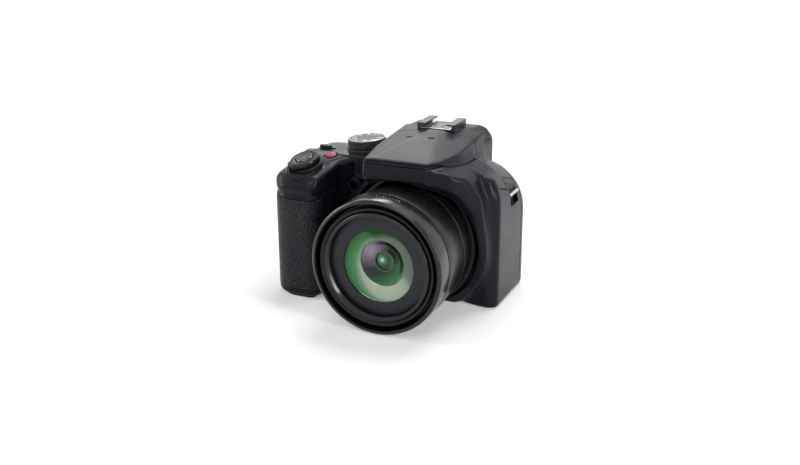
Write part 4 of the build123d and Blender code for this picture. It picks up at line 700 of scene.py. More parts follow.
@dataclass
class Lattice:
    """A box of evenly spaced points, in mm, that fields are worked out on."""

    low: Vector = (-85.0, -60.2, -1.9)
    high: Vector = (49.0, 30.0, 94.0)
    step: float = 0.7

    def __post_init__(self) -> None:
        """Lays out the three axes."""
        self.x, self.y, self.z = (np.arange(low, high, self.step, dtype=np.float32)
                                  for low, high in zip(self.low, self.high))

    def grid(self) -> tuple[np.ndarray, np.ndarray, np.ndarray]:
        """The three coordinates, each shaped to spread over the whole box."""
        return self.x[:, None, None], self.y[None, :, None], self.z[None, None]

    def sample(self, values: np.ndarray, points: np.ndarray) -> np.ndarray:
        """Values between the lattice's points, each the mean of its eight corners weighted by nearness."""
        spot = (points - np.array(self.low)) / self.step
        base = np.clip(np.floor(spot).astype(int), 0, np.array(values.shape[:3]) - 2)
        part = np.clip(spot - base, 0, 1)
        total = 0.0
        for corner in np.ndindex(2, 2, 2):
            weight = np.prod(np.where(corner, part, 1 - part), 1)
            found = values[tuple((base + corner).T)]
            total = total + (weight[:, None] * found if found.ndim > 1 else weight * found)
        return total

    def net(self, values: np.ndarray) -> tuple[np.ndarray, np.ndarray]:
        """The surface where a field is zero, as a net of quads.

        Each cell that the surface passes has one point, the mean of the places where its edges cross
        zero, and each crossed edge has one quad between its four cells. Two steps of
        p - f grad f / |grad f| squared then draw the points onto the surface.

        Args:
            values: The field on this lattice.

        Returns:
            Points and quads.
        """
        inside = values < 0
        corners = list(np.ndindex(2, 2, 2))
        size = tuple(n - 1 for n in values.shape)
        count = sum(inside[tuple(slice(c, c + s) for c, s in zip(corner, size))].astype(np.int8)
                    for corner in corners)
        cells = np.argwhere((count > 0) & (count < 8))
        index = np.full(size, -1)
        index[tuple(cells.T)] = np.arange(len(cells))
        total, hits = np.zeros((len(cells), 3)), np.zeros(len(cells))
        for a in corners:
            for axis in range(3):
                if a[axis]:
                    continue
                b = tuple(v + (i == axis) for i, v in enumerate(a))
                va, vb = values[tuple((cells + a).T)], values[tuple((cells + b).T)]
                crossed = (va < 0) != (vb < 0)
                share = (va / np.where(crossed, va - vb, 1))[crossed]
                total[crossed] += np.array(a) + share[:, None] * (np.array(b) - np.array(a))
                hits[crossed] += 1
        points = np.array(self.low) + self.step * (cells + total / hits[:, None])
        quads = []
        for axis in range(3):
            first = [slice(None)] * 3
            second = [slice(None)] * 3
            first[axis], second[axis] = slice(None, -1), slice(1, None)
            edges = np.argwhere(inside[tuple(first)] != inside[tuple(second)])
            one, two = (axis + 1) % 3, (axis + 2) % 3
            edges = edges[(edges[:, one] > 0) & (edges[:, two] > 0) & (edges[:, one] < size[one])
                          & (edges[:, two] < size[two])]
            leaving = inside[tuple(edges.T)]
            back_one, back_two = np.eye(3, dtype=int)[one], np.eye(3, dtype=int)[two]
            moves = (back_one + back_two, back_two, 0 * back_one, back_one)
            ring = np.stack([index[tuple((edges - move).T)] for move in moves], 1)
            quads.append(np.where(leaving[:, None], ring, ring[:, ::-1]))
        slope = np.stack(np.gradient(values, self.step), -1)
        flattest = 0.2   # least squared slope that a step divides by
        for _ in range(2):
            value, way = self.sample(values, points), self.sample(slope, points)
            points = points - way * (value / np.maximum((way * way).sum(1), flattest))[:, None]
        return points, np.concatenate(quads)


@dataclass
class Mass:
    """What lies inside a plan, a front view and a side view at once, its edges rounded by a blend."""

    plan: list[Corner]
    front: list[Corner]
    side: list[Corner]
    edge: float = 1.5

    def field(self, lattice: Lattice) -> np.ndarray:
        """Its distances, the rounded greatest of the three views' own."""
        plan = outline_distance(soften(self.plan), lattice.x[:, None], lattice.y[None])
        front = outline_distance(soften(self.front), lattice.x[:, None], lattice.z[None])
        side = outline_distance(soften(self.side), lattice.y[:, None], lattice.z[None])
        return smooth_high(smooth_high(plan[:, :, None], front[:, None], self.edge), side[None], self.edge)


def mirrored(half: list[Corner]) -> list[Corner]:
    """A symmetric outline from its right half, given from the bottom upwards."""
    return half + [((-x, z), radius) for (x, z), radius in reversed(half)]


def arc_through(a: tuple[float, float], b: tuple[float, float], c: tuple[float, float],
                steps: int = 28) -> np.ndarray:
    """Points on the circle's arc from a through b to c: its centre is equally far from all three."""
    m = 2 * np.array([[b[0] - a[0], b[1] - a[1]], [c[0] - a[0], c[1] - a[1]]])
    v = np.array([b[0] ** 2 - a[0] ** 2 + b[1] ** 2 - a[1] ** 2,
                  c[0] ** 2 - a[0] ** 2 + c[1] ** 2 - a[1] ** 2])
    centre = np.linalg.solve(m, v)
    angles = [math.atan2(p[1] - centre[1], p[0] - centre[0]) for p in (a, b, c)]
    way = 1 if (angles[1] - angles[0]) % (2 * math.pi) < (angles[2] - angles[0]) % (2 * math.pi) else -1
    turn = (angles[2] - angles[0]) * way % (2 * math.pi) * way
    angle = angles[0] + turn * np.linspace(0, 1, steps)
    return centre + math.dist(a, centre) * np.stack([np.cos(angle), np.sin(angle)], 1)


@dataclass
class Form:
    """The casing's outer form, all its masses blended."""

    lattice: Lattice = field(default_factory=Lattice)
    cowl_blend: float = 3.2
    hump_blend: float = 4.0
    hood_blend: float = 1.2
    shoulder_blend: float = 9.0
    shoulder_spot: Vector = (45.0, -28.0, 72.0)
    shoulder_lean: float = 45.5       # degrees from upright to the slope's normal
    shoulder_turn: float = 17.2       # degrees from +X to its heading
    facet_blend: float = 0.3
    facet_spot: Vector = (12.5, -41.6, 86.7)
    facet_normal: Vector = (0.162, -0.084, 0.983)
    crease_z: float = 60.5            # the shallow crease round the grip, under the plastic lip
    crease_deep: float = 0.7
    crease_wide: float = 1.3
    crease_x: float = -47.0           # where it fades towards the lens
    crease_fade: float = 1.5
    crease_y: float = 12.0            # and where it ends at the back
    end_blend: float = 0.3            # at the flat ends and the base

    def masses(self) -> dict[str, Mass]:
        """The five masses: body slab, grip, flash hump, finder hood and the cowl over the lens."""
        slab = Mass([((-58, 20), 0), ((-58, -24), 0), ((26, -24), 8), ((28, -27.5), 8), ((41, -31), 4),
                     ((47, -27), 4), ((47, 20), 7)],
                    [((-58, 0), 0), ((47, 0), 3), ((47, 77.8), 0), ((0, 77.8), 0), ((-58, 76.7), 0)],
                    [((20, 0), 3), ((20, 70.5), 3), ((7, 75.4), 30), ((-12, 77.8), 30), ((-24, 76.6), 0),
                     ((-31, 76.6), 0), ((-31, 0), 3)], 1.6)
        grip = Mass([((-83.2, 20), 7), ((-83.2, -34), 55), ((-73.5, -57), 15), ((-49.5, -57), 7),
                     ((-47.5, -30), 5), ((-40, -24), 0), ((-40, 20), 0)],
                    [((-83.2, 0), 3), ((0, 0), 0), ((0, 77.8), 0), ((-66, 76.6), 14), ((-72.5, 74.6), 10),
                     ((-77.8, 69), 12), ((-81, 61), 12), ((-83.2, 54), 12)],
                    [((20, 0), 3), ((20, 70.5), 3), ((7, 75.4), 30), ((-12, 77.8), 30), ((-24, 76.6), 14),
                     ((-36, 72.8), 14), ((-52, 70.4), 3), ((-57, 64.5), 3), ((-57, 0), 3)], 4.0)
        hump = Mass([((-24.4, 10), 0), ((-25, -24), 0), ((-20, -56), 3), ((14.5, -56), 2.5), ((20.5, -45), 5),
                     ((25, -24), 0), ((24.4, 10), 0)],
                    mirrored([((25, 60), 0), ((24.4, 79), 0), ((23.8, 90.4), 2), ((5, 91.4), 0)]),
                    [((10, 60), 0), ((10, 91.4), 0), ((-6, 91.4), 8), ((-54, 85), 1.5), ((-56, 75), 1),
                     ((-24, 75), 0), ((-24, 60), 0)], 0.8)
        hood = Mass([((-24, -2), 0), ((24, -2), 0), ((24, 27.5), 3), ((-24, 27.5), 3)],
                    mirrored([((24, 60), 0), ((24, 80), 8), ((20.5, 91.2), 6)]),
                    [((27.5, 60), 0), ((27.5, 82), 5), ((20, 91.2), 10), ((10, 91.2), 0), ((-2, 79), 0),
                     ((-2, 60), 0)], 1.5)
        ring = [(tuple(p), 0) for p in arc_through((-38, 58), (0, -7.2), (43.6, 36.6))]
        cowl = Mass([((-42, -10), 0), ((-42, -22), 0), ((-40, -36), 4), ((-22, -40), 2), ((-19.5, -56.5), 2),
                     ((14, -56.5), 10), ((28, -50), 12), ((38, -41), 8), ((43.6, -37), 5), ((43.5, -28), 4),
                     ((40, -10), 0)],
                    ring + [((40, 64), 14), ((34, 76.5), 8), ((22, 81.5), 3), ((-21, 81.5), 3),
                            ((-24, 70), 4)],
                    [((-10, 0), 0), ((-10, 82), 0), ((-54, 82), 2), ((-56.5, 74.5), 2), ((-47, 68), 10),
                     ((-40.5, 56), 10), ((-38, LENS_Z), 20), ((-35, 14), 10), ((-28, 0), 0)], 2.0)
        return {"slab": slab, "grip": grip, "hump": hump, "hood": hood, "cowl": cowl}

    def plane(self, spot: Vector, normal: Vector) -> np.ndarray:
        """Height of each lattice point over a plane."""
        way = np.array(normal) / np.linalg.norm(normal)
        return sum((line - place) * share for line, place, share in zip(self.lattice.grid(), spot, way))

    def build(self) -> tuple[np.ndarray, np.ndarray, np.ndarray]:
        """Works out the field and its surface.

        Returns:
            Points, triangles and outward unit normals.
        """
        lattice = self.lattice
        part = {name: mass.field(lattice) for name, mass in self.masses().items()}
        x, y, z = lattice.grid()
        lean, turn = math.radians(self.shoulder_lean), math.radians(self.shoulder_turn)
        slope = (math.sin(lean) * math.cos(turn), math.sin(lean) * math.sin(turn), math.cos(lean))
        body = smooth_high(part["slab"], self.plane(self.shoulder_spot, slope), self.shoulder_blend)
        beside = 1 / (1 + np.exp((x - self.crease_x) / self.crease_fade)) * (y < self.crease_y)
        crease = self.crease_deep * np.exp(-((z - self.crease_z) / self.crease_wide) ** 2)
        body = np.minimum(body, part["grip"]) + crease * beside
        hump = part["hump"]
        for side in (1, -1):
            facet = self.plane((side * self.facet_spot[0], *self.facet_spot[1:]),
                               (side * self.facet_normal[0], *self.facet_normal[1:]))
            hump = smooth_high(hump, facet, self.facet_blend)
        form = smooth_low(body, part["cowl"], self.cowl_blend)
        form = smooth_low(form, hump, self.hump_blend)
        form = smooth_low(form, part["hood"], self.hood_blend)
        limits = np.maximum(np.maximum(np.maximum(x - LEFT_X, RIGHT_X - x), y - BACK_Y), -z)
        self.field = smooth_high(form, limits, self.end_blend).astype(np.float32)
        points, quads = lattice.net(self.field)
        triangles = np.concatenate([quads[:, [0, 1, 2]], quads[:, [0, 2, 3]]])
        way = lattice.sample(np.stack(np.gradient(self.field, lattice.step), -1), points)
        return points, triangles, way / np.linalg.norm(way, axis=1)[:, None]


def split(data: np.ndarray, triangles: np.ndarray, level: float) -> tuple[np.ndarray, np.ndarray]:
    """Cuts triangles along the line where the last column of their points has one value.

    On an edge from a to b the new point is a + (b - a) (level - va) / (vb - va), in every column.

    Args:
        data: One row a point: place, normal and value.
        triangles: Point numbers.
        level: The value.

    Returns:
        The longer data and the new triangles.
    """
    value = data[:, -1] - level
    over = (value > 0)[triangles]
    mixed = over.any(1) & ~over.all(1)
    cut, state = triangles[mixed], over[mixed]
    lone = np.where(state.sum(1) == 1, state.argmax(1), (~state).argmax(1))
    a, b, c = np.take_along_axis(cut, (lone[:, None] + [0, 1, 2]) % 3, 1).T
    pairs = np.sort(np.concatenate([np.stack([a, b], 1), np.stack([a, c], 1)]), 1).astype(np.int64)
    keys, which = np.unique(pairs[:, 0] * len(data) + pairs[:, 1], return_inverse=True)
    low, high = keys // len(data), keys % len(data)
    share = value[low] / (value[low] - value[high])
    fresh = data[low] + (data[high] - data[low]) * share[:, None]
    p, q = np.split(which.ravel() + len(data), 2)
    made = [np.stack(t, 1) for t in ((a, p, q), (p, b, c), (p, c, q))]
    return np.concatenate([data, fresh]), np.concatenate([triangles[~mixed]] + made)


def cut_sheet(points: np.ndarray, triangles: np.ndarray, normals: np.ndarray, value: np.ndarray, wall: float,
              roll: float, lift: float = 0.0) -> Skin:
    """The part of a surface where a value is positive, with rolled edges and a wall.

    Within roll of the edge the surface sinks by roll (1 - sqrt(1 - (1 - value / roll) squared)).

    Args:
        points: The whole surface's points.
        triangles: Its triangles.
        normals: Its unit normals.
        value: About the distance of each point from the cut, positive where the surface stays.
        wall: Thickness, taken inwards.
        roll: Radius of the rolled edge.
        lift: How far the whole sheet stands out.

    Returns:
        The closed wall.
    """
    spare = 1.5   # mm kept beyond the cut until it is made
    triangles = triangles[(value[triangles] > -spare).any(1)]
    data = np.column_stack([points, normals, value])
    # Rows of points across the rolled edge, the last of them at the cut
    for share in (1.0, 0.55, 0.25, 0.08, 0.0):
        data, triangles = split(data, triangles, roll * share)
    triangles = triangles[data[triangles, -1].mean(1) > 0]
    used, compact = np.unique(triangles, return_inverse=True)
    triangles, data = compact.reshape(-1, 3), data[used]
    way = data[:, 3:6] / np.linalg.norm(data[:, 3:6], axis=1)[:, None]
    near = np.clip(data[:, 6] / roll, 0, 1)
    drop = roll * (1 - np.sqrt(np.clip(1 - (1 - near) ** 2, 0, 1)))
    outer = data[:, :3] + way * (lift - drop)[:, None]
    inner = data[:, :3] - way * wall
    count = len(outer)
    edges = np.concatenate([triangles[:, [i, (i + 1) % 3]] for i in range(3)]).astype(np.int64)
    key, back = edges[:, 0] * count + edges[:, 1], edges[:, 1] * count + edges[:, 0]
    rim = edges[~np.isin(key, back)]
    wall_faces = np.stack([rim[:, 1], rim[:, 0], rim[:, 0] + count, rim[:, 1] + count], 1)
    return Skin(np.concatenate([outer, inner]), [triangles, triangles[:, ::-1] + count, wall_faces])


def in_box(points: np.ndarray, low: Vector, high: Vector) -> np.ndarray:
    """How deep each point lies in a box, negative outside."""
    return np.minimum(points - np.array(low), np.array(high) - points).min(1)


@dataclass(frozen=True)
class Opening:
    """A hole through a cover, along the third axis of its frame."""

    place: Place
    outline: np.ndarray | float       # in the frame's plane, or the radius of a round hole
    reach: float = 7.0                # depth to both sides of the frame's origin
    gap: float = 0.0                  # clearance round the outline

    def off(self, points: np.ndarray) -> np.ndarray:
        """How far each point lies from the hole, negative in it and FAR where it doesn't reach."""
        local = (points - np.array(self.place.origin)) @ np.array(self.place.axes, float).T
        if isinstance(self.outline, float):
            away = np.hypot(local[:, 0], local[:, 1]) - self.outline
        else:
            away = outline_distance(self.outline, local[:, 0], local[:, 1])
        return np.where(np.abs(local[:, 2]) < self.reach, away, FAR) - self.gap


@dataclass
class Casing:
    """The covers: moulded shells cut from one form along their seams."""

    form: Form = field(default_factory=Form)
    wall: float = 1.3
    roll: float = 0.35          # radius of a shell's edge
    half_seam: float = 0.09
    rear_y: float = 11.0        # seam of the rear cover
    seam_z: float = 82.6        # seam of the top cover over it
    hinge_y: float = -4.45      # rear edge of the flash head
    head_roll: float = 0.6
    head_lift: float = 0.1      # how far the head and the rubber stand out
    skin_wall: float = 1.0
    skin_lift: float = 0.12
    skin_gap: float = 0.05      # from its zone's border to the rubber's edge
    bore: float = 38.5
    bore_back_y: float = -21.6
    sleeve_wall: float = 1.2

    def build(self, maker: Maker) -> None:
        """Makes the shells, the sleeve round the barrel and the parts behind the openings."""
        whole = self.form.build()
        p = whole[0]
        head, rear, skin = self.head(p), self.rear(p), self.skin(p)
        top = np.minimum(self.top(p), -head)
        front = np.minimum(np.minimum(-top, -rear), np.minimum(-head, -skin))
        for name, zone, node in (("front_shell", self.open_front(p, front), "front_cover"),
                                 ("top_shell", self.open_top(p, top), "top_cover"),
                                 ("rear_shell", self.open_rear(p, rear), "rear_cover")):
            sheet = cut_sheet(*whole, zone - self.half_seam, self.wall, self.roll)
            maker.piece(name, sheet, BODY, "camera", "body_plastic", node)
        sheet = cut_sheet(*whole, skin - self.skin_gap, self.skin_wall, self.head_roll, self.skin_lift)
        maker.piece("grip_skin", sheet, RUBBER, "camera", "grip_rubber", "grip_cover")
        head = self.opened(p, head, [Opening(mic_place(side), bar(3.2, 1.0, 0.3), 5.0) for side in (1, -1)])
        sheet = cut_sheet(*whole, head - self.half_seam, self.wall, self.head_roll, self.head_lift)
        # The flash head's lighter colour is painted light from above
        maker.piece("flash_shell", sheet, COVER_PAINTED_LIGHT, "flash", "flash_plastic", "flash_head")
        maker.piece("bore_sleeve", self.sleeve(), DARK, "camera", "body_plastic")
        for name, tray in self.trays().items():
            maker.piece(name, tray, DARK, "camera", "body_plastic")
        maker.piece("lamp_box", self.lamp_box(), DARK, "flash", "flash_plastic")
        maker.piece("lamp_boss", self.lamp_boss(), BODY, "camera", "body_plastic")

    def opened(self, p: np.ndarray, zone: np.ndarray, openings: list[Opening]) -> np.ndarray:
        """A zone less its openings.

        Args:
            p: Points of the form.
            zone: How deep each lies in the zone.
            openings: The holes.

        Returns:
            How deep each lies in what is left.
        """
        for opening in openings:
            zone = np.minimum(zone, opening.off(p))
        return zone

    def open_front(self, p: np.ndarray, zone: np.ndarray) -> np.ndarray:
        """The front cover less its bore, strap pockets, socket bay, tripod hole, battery door and lamp."""
        bore = Opening(facing((0, -22, LENS_Z), (0, -1, 0)), self.bore, 60.0).off(p)
        zone = np.minimum(zone, np.where(p[:, 1] < -20, bore, FAR))
        for low, high in (((43.4, -8, 53), (50, 6, 90)), ((-86.2, -8, 53), (-79.6, 6, 61)),
                          ((-90, -15.3, 23.7), (-80.8, 8.3, 50.3))):
            zone = np.minimum(zone, -in_box(p, low, high))
        door = soften([((-79.9, 3), 0), ((-79.9, -34), 40), ((-71.6, -53.6), 11), ((-53.2, -53.6), 4),
                       ((-53.2, 3), 0)])
        return self.opened(p, zone, [Opening(Place(), 6.0, 3.0), Opening(Place(), door, 1.0, 0.2),
                                     Opening(facing((-39, -24, 61), (0, -1, 0)), 2.9, 8.0)])

    def open_top(self, p: np.ndarray, zone: np.ndarray) -> np.ndarray:
        """The top cover less the holes of its controls and the shoe's bed."""
        zone = self.opened(p, zone, [Opening(DIAL, 10.0), Opening(SHUTTER, 7.4), Opening(MOVIE, 3.9),
                                     Opening(BURST, 2.9), Opening(POWER, bar(8.8, 3.0, 1.2))])
        return np.minimum(zone, -in_box(p, (-11.2, -3.8, 89), (11.2, 15.2, 95)))

    def open_rear(self, p: np.ndarray, zone: np.ndarray) -> np.ndarray:
        """The rear cover less its screen, eyepiece, buttons and two dials."""
        buttons = [Opening(rear_place(x, z), radius + 0.25) for x, z, radius in REAR_BUTTONS]
        return self.opened(p, zone, [Opening(SCREEN, bar(68.4, 50.4, 2.2)), Opening(EYE, bar(26, 12, 4), 9.0),
                                     *buttons, Opening(rear_place(-62, 60.5), bar(12.4, 4.6, 0.6)),
                                     Opening(facing((-24, 19, 75), (-1, 0, 0), (0, 1, 0)), 3.5, 4.0)])

    def head(self, p: np.ndarray) -> np.ndarray:
        """The flash head: before its hinge and over a seam that falls rearwards."""
        seam = np.interp(p[:, 1], [-56, -50, -40, -25, -10], [84.2, 84, 81.2, 79.7, 79.5])
        return np.minimum(p[:, 2] - seam, self.hinge_y - p[:, 1])

    def rear(self, p: np.ndarray) -> np.ndarray:
        """The rear cover, up to the top cover's seam."""
        return np.minimum(p[:, 1] - self.rear_y, self.seam_z - p[:, 2])

    def skin(self, p: np.ndarray) -> np.ndarray:
        """The rubber skin of the grip."""
        return in_box(p, (-FAR, -FAR, 5), (-48.6, -19, 57.5))

    def top(self, p: np.ndarray) -> np.ndarray:
        """The top cover: the deck, the pad on the shoulder and the top of the hump."""
        edge = soften([((-75.5, 11), 0), ((-75.5, -38), 10), ((-66.5, -54), 9), ((-56, -54), 5.5),
                       ((-52.8, -31), 12), ((-44, -22), 10), ((24, -22), 0), ((24, 11), 0)])
        deck = np.minimum(-outline_distance(edge, p[:, 0], p[:, 1]), p[:, 2] - 66)
        pad = in_box(p, (0, -24.5, 54), (44.6, FAR, FAR))
        high = p[:, 2] - self.seam_z
        zone = np.maximum(np.maximum(deck, pad), high)
        zone = np.minimum(zone, np.maximum(self.rear_y - p[:, 1], high))
        return np.minimum(zone, -in_box(p, (41.1, -9.9, 0), (FAR, 7.9, FAR)))

    def sleeve(self) -> Skin:
        """The wall of the barrel's bore, its front edge where the casing ends.

        At each angle the tube runs from its rear to the first y whose place at that radius lies in the
        form, and never sinks under the base.
        """
        turns, step, deep = 240, 0.25, 0.5
        angle = bearings(turns)
        radius, base = self.bore + 0.7, 1.2
        spots_y = np.arange(-60, -22, step)
        x, z = radius * np.cos(angle), np.maximum(LENS_Z + radius * np.sin(angle), base)
        probe = np.column_stack([np.repeat(x, len(spots_y)), np.tile(spots_y, turns),
                                 np.repeat(z, len(spots_y))])
        found = self.form.lattice.sample(self.form.field, probe).reshape(turns, -1) < -deep
        front = np.where(found.any(1), spots_y[found.argmax(1)], -24.0)
        back = np.full(turns, self.bore_back_y)
        rows = []
        for out, y in ((0, front), (0, back), (self.sleeve_wall, back), (self.sleeve_wall, front + 0.4)):
            r = self.bore + out
            z = np.maximum(LENS_Z + r * np.sin(angle), 0.1 + out / 2)
            rows.append(np.stack([r * np.cos(angle), y, z], 1))
        return Skin(np.concatenate(rows), [weave(4, turns, True)]).outward()

    def lamp_box(self) -> Skin:
        """The lamp housing under the flash head, its slanted face round the window."""
        section = soften([((-42, 78), 0.3), ((-47.17, 84.62), 0.3), ((-46.6, 85.4), 0.3),
                          ((-30.2, 86.6), 0.3), ((-30.2, 78), 0.4)])
        return swept(section, -14.9, 14.9)

    def lamp_boss(self) -> Skin:
        """The raised collar round the focusing lamp."""
        section = soften([((21.6, 0), 0), ((21.6, 6.0), 0), ((24.0, 5.6), 1.2), ((25.4, 4.2), 1.5),
                          ((28.3, 4.0), 0.3), ((28.5, 3.7), 0.3), ((28.5, 2.8), 0.2), ((27.0, 2.6), 0.1),
                          ((24.0, 2.6), 0), ((24.0, 0), 0)], False)
        return lathe(section, Place((-39, 0, 61), LENS.axes), 64)

    def trays(self) -> dict[str, Skin]:
        """Floors behind the openings: strap pockets, socket and flash bays, shoe bed, controls' seats."""
        pocket = soften([((-7.3, -7.2), 1), ((7.3, -7.2), 1), ((7.3, 2.6), 1), ((-7.3, 7.0), 1)])
        bay = soften([((-19, -23), 3), ((19, -23), 3), ((22, 24), 1), ((-22, 24), 1)])
        left, right = ((1, 0, 0), (0, 1, 0)), ((-1, 0, 0), (0, -1, 0))
        edge = 0.3
        return {
            "left_strap_tray": pillow(pocket, -0.9, 0.0, edge, facing((43.4, -1, 59.6), *left)),
            "right_strap_tray": pillow(bar(14.6, 8.6, 1), -0.9, 0.0, edge, facing((-79.6, -1, 57), *right)),
            "port_tray": pillow(bar(24, 27, 1), -1.4, 0.0, edge, facing((-80.8, -3.5, 37), *right)),
            "flash_bay": pillow(bay, 0, 1.4, edge, Place((0, -31, 79.2))),
            "shoe_bed": pillow(bar(23, 18.4, 1), 0.0, 4.8, edge, Place((0, 6.4, 86))),
            "shutter_seat": seat(SHUTTER, 9.0, 0.4),
            "dial_seat": seat(DIAL, 11.6, 1.0),
            "movie_well": seat(MOVIE, 4.6, -1.2),
            "burst_seat": seat(BURST, 3.7, 0.3),
        }


def seat(place: Place, radius: float, high: float) -> Skin:
    """A raised round seat under a control.

    Args:
        place: Frame of the control.
        radius: Its radius.
        high: Height of its rim over that frame.

    Returns:
        The closed surface, its middle a little lower than its rim.
    """
    foot, dish = -3.5, high - 0.3
    profile = soften([((foot, 0), 0), ((foot, radius - 0.6), 0), ((high - 0.2, radius), 0.4),
                      ((high, radius - 0.8), 0.3), ((dish, radius - 1.4), 0.2), ((dish, 0), 0)], False)
    return lathe(profile, place, 96)


# Frames of the controls


def leaning(origin: Vector, tilt: float, lean: float) -> Place:
    """A frame turned about X by tilt and then about its own Y by lean, in degrees."""
    a, b = math.radians(tilt), math.radians(lean)
    turn = np.array([[1, 0, 0], [0, math.cos(a), -math.sin(a)], [0, math.sin(a), math.cos(a)]]) @ np.array(
        [[math.cos(b), 0, math.sin(b)], [0, 1, 0], [-math.sin(b), 0, math.cos(b)]])
    return Place(origin, tuple(tuple(float(v) for v in turn[:, i]) for i in range(3)))


REARWARDS = ((-1, 0, 0), (0, 0, 1), (0, 1, 0))


def rear_place(x: float, z: float) -> Place:
    """A frame on the rear face, its third axis rearwards."""
    return Place((x, 20.0, z), REARWARDS)


def mic_place(side: int) -> Place:
    """A frame on the slope over one microphone, at the place that the photo gives it."""
    slope, foot_y, foot_z = 7.6, -54, 85
    x, y = (3.5, -18.4) if side > 0 else (-10.0, -18.0)
    return leaning((x, y, foot_z + (y - foot_y) * math.tan(math.radians(slope))), slope, 0)


SHUTTER = leaning((-62.5, -39.5, 73.6), 16, -8)
DIAL = leaning((-40.0, -8.0, 77.5), 0, -4)
MOVIE = leaning((-55.2, -24.2, 76.0), 12, 0)
BURST = leaning((-69.0, -22.0, 76.3), 0, -4)
POWER = leaning((-62.5, -12.5, 76.6), 0, -1)
SCREEN = rear_place(5.0, 31.5)
EYE = Place((0.0, BACK_Y, 72.6), REARWARDS)
# Playback, finder, display, menu and cursor pad: middle and radius of each
REAR_BUTTONS = ((-38, 46, 3.2), (-36, 62.5, 3.0), (-42, 8.5, 3.0), (-62, 8.5, 3.0), (-52, 25, 12.5))


def joined(skins: list[Skin]) -> Skin:
    """All surfaces in one."""
    return sum(skins[1:], skins[0])


@dataclass
class Barrel:
    """The fixed barrel, its rim and the two lens tubes, from (place along Y, radius) sections in mm."""

    hood_r: float = 36.2
    waist_r: float = 35.2             # of the barrel behind the hood
    bore_r: float = 33.3
    tick_y: float = -76.6
    ticks: int = 11
    tick_arc: tuple[float, float] = (102.0, 74.0)   # degrees over +X
    ridges: int = 9
    ridge_pitch: float = 0.375        # from a ridge to the valley beside it

    def build(self, maker: Maker) -> None:
        """Makes the turned pieces, and the scale between them."""
        maker.piece("barrel_shell", turned(self.shell()), BARREL, "camera", "barrel_plastic", "fixed_barrel")
        maker.piece("rim_ring", turned(self.rim()), RIM, "camera", "rim_metal", "front_rim")
        maker.piece("focus_scale", self.scale(), BRASS_INK, "camera", "rim_metal")
        maker.piece("outer_tube_shell", turned(self.outer()), BARREL, "outer_tube", "barrel_plastic",
                    "lens_stage_1")
        maker.piece("inner_tube_shell", turned(self.inner(), 3), RIM, "inner_tube", "rim_metal",
                    "lens_stage_2")

    def shell(self) -> list[Corner]:
        """The fixed barrel: hood, step, waist with its groove, and the flange at the casing."""
        hood, waist, bore = self.hood_r, self.waist_r, self.bore_r
        lip, step, groove, flange = 34.45, 35.8, 34.95, 36.5
        return [((-72.8, lip), 0.15), ((-72.8, hood), 0.45), ((-66, hood), 0.3), ((-65.6, step), 0.15),
                ((-60, step), 0.3), ((-59.7, waist), 0.15), ((-50.2, waist), 0.1), ((-50, groove), 0.05),
                ((-49.6, groove), 0.05), ((-49.4, waist), 0.1), ((-38, waist), 0.2), ((-38, flange), 0.4),
                ((-36.6, flange), 0.4), ((-36.6, waist), 0.2), ((-22, waist), 0.2), ((-22, bore), 0.1),
                ((-69, bore), 0.1), ((-69, lip), 0.1)]

    def rim(self) -> list[Corner]:
        """The front rim, flared inside."""
        front, hood, bore, seat_r = -85, self.hood_r, 33.4, 34.4
        return [((front, 34.2), 0.15), ((front, 35.2), 0.35), ((-84.3, hood), 0.7), ((-73.2, hood), 0.45),
                ((-73.2, seat_r), 0.1), ((-69.2, seat_r), 0.1), ((-69.2, bore), 0.1), ((-79.4, bore), 0.2),
                ((-82.6, 34.0), 0.4)]

    def outer(self) -> list[Corner]:
        """The outer tube, a little wider at its lip."""
        front, lip, tube, bore = -83.9, 31.8, 30.7, 29.6
        return [((front, 31.1), 0.1), ((front, 31.6), 0.2), ((-83.2, lip), 0.3), ((-80, lip), 0.3),
                ((-80, tube), 0.1), ((-26, tube), 0.2), ((-26, bore), 0.1), ((-83.2, bore), 0.3)]

    def inner(self) -> list[Corner]:
        """The inner tube with the ridges of its filter thread."""
        front, tube, bore, valley, deep = -84.4, 29.3, 28.1, 27.45, 0.28
        thread = [((front + self.ridge_pitch * i, valley + deep * (i % 2)), 0) for i in range(self.ridges)]
        return [((front, 28.6), 0.1), ((front, 28.95), 0.15), ((-84.1, tube), 0.2), ((-32, tube), 0.2),
                ((-32, bore), 0.1), ((-80.6, bore), 0), ((-80.9, 27.3), 0)] + thread[::-1]

    def scale(self) -> Skin:
        """Plain ticks on top of the hood, every fifth one longer."""
        drawn = []
        for step, bearing in enumerate(np.radians(np.linspace(*self.tick_arc, self.ticks))):
            out = (math.cos(bearing), 0.0, math.sin(bearing))
            origin = (self.hood_r * out[0], self.tick_y, LENS_Z + self.hood_r * out[2])
            place = Place(origin, ((out[2], 0.0, -out[0]), (0.0, 1.0, 0.0), out))
            long = 2.2 if step % 5 == 0 else 1.3
            drawn.append(pillow(bar(0.4, long, 0.1), -0.2, 0.06, 0.03, place, 0, 1))
        return joined(drawn)


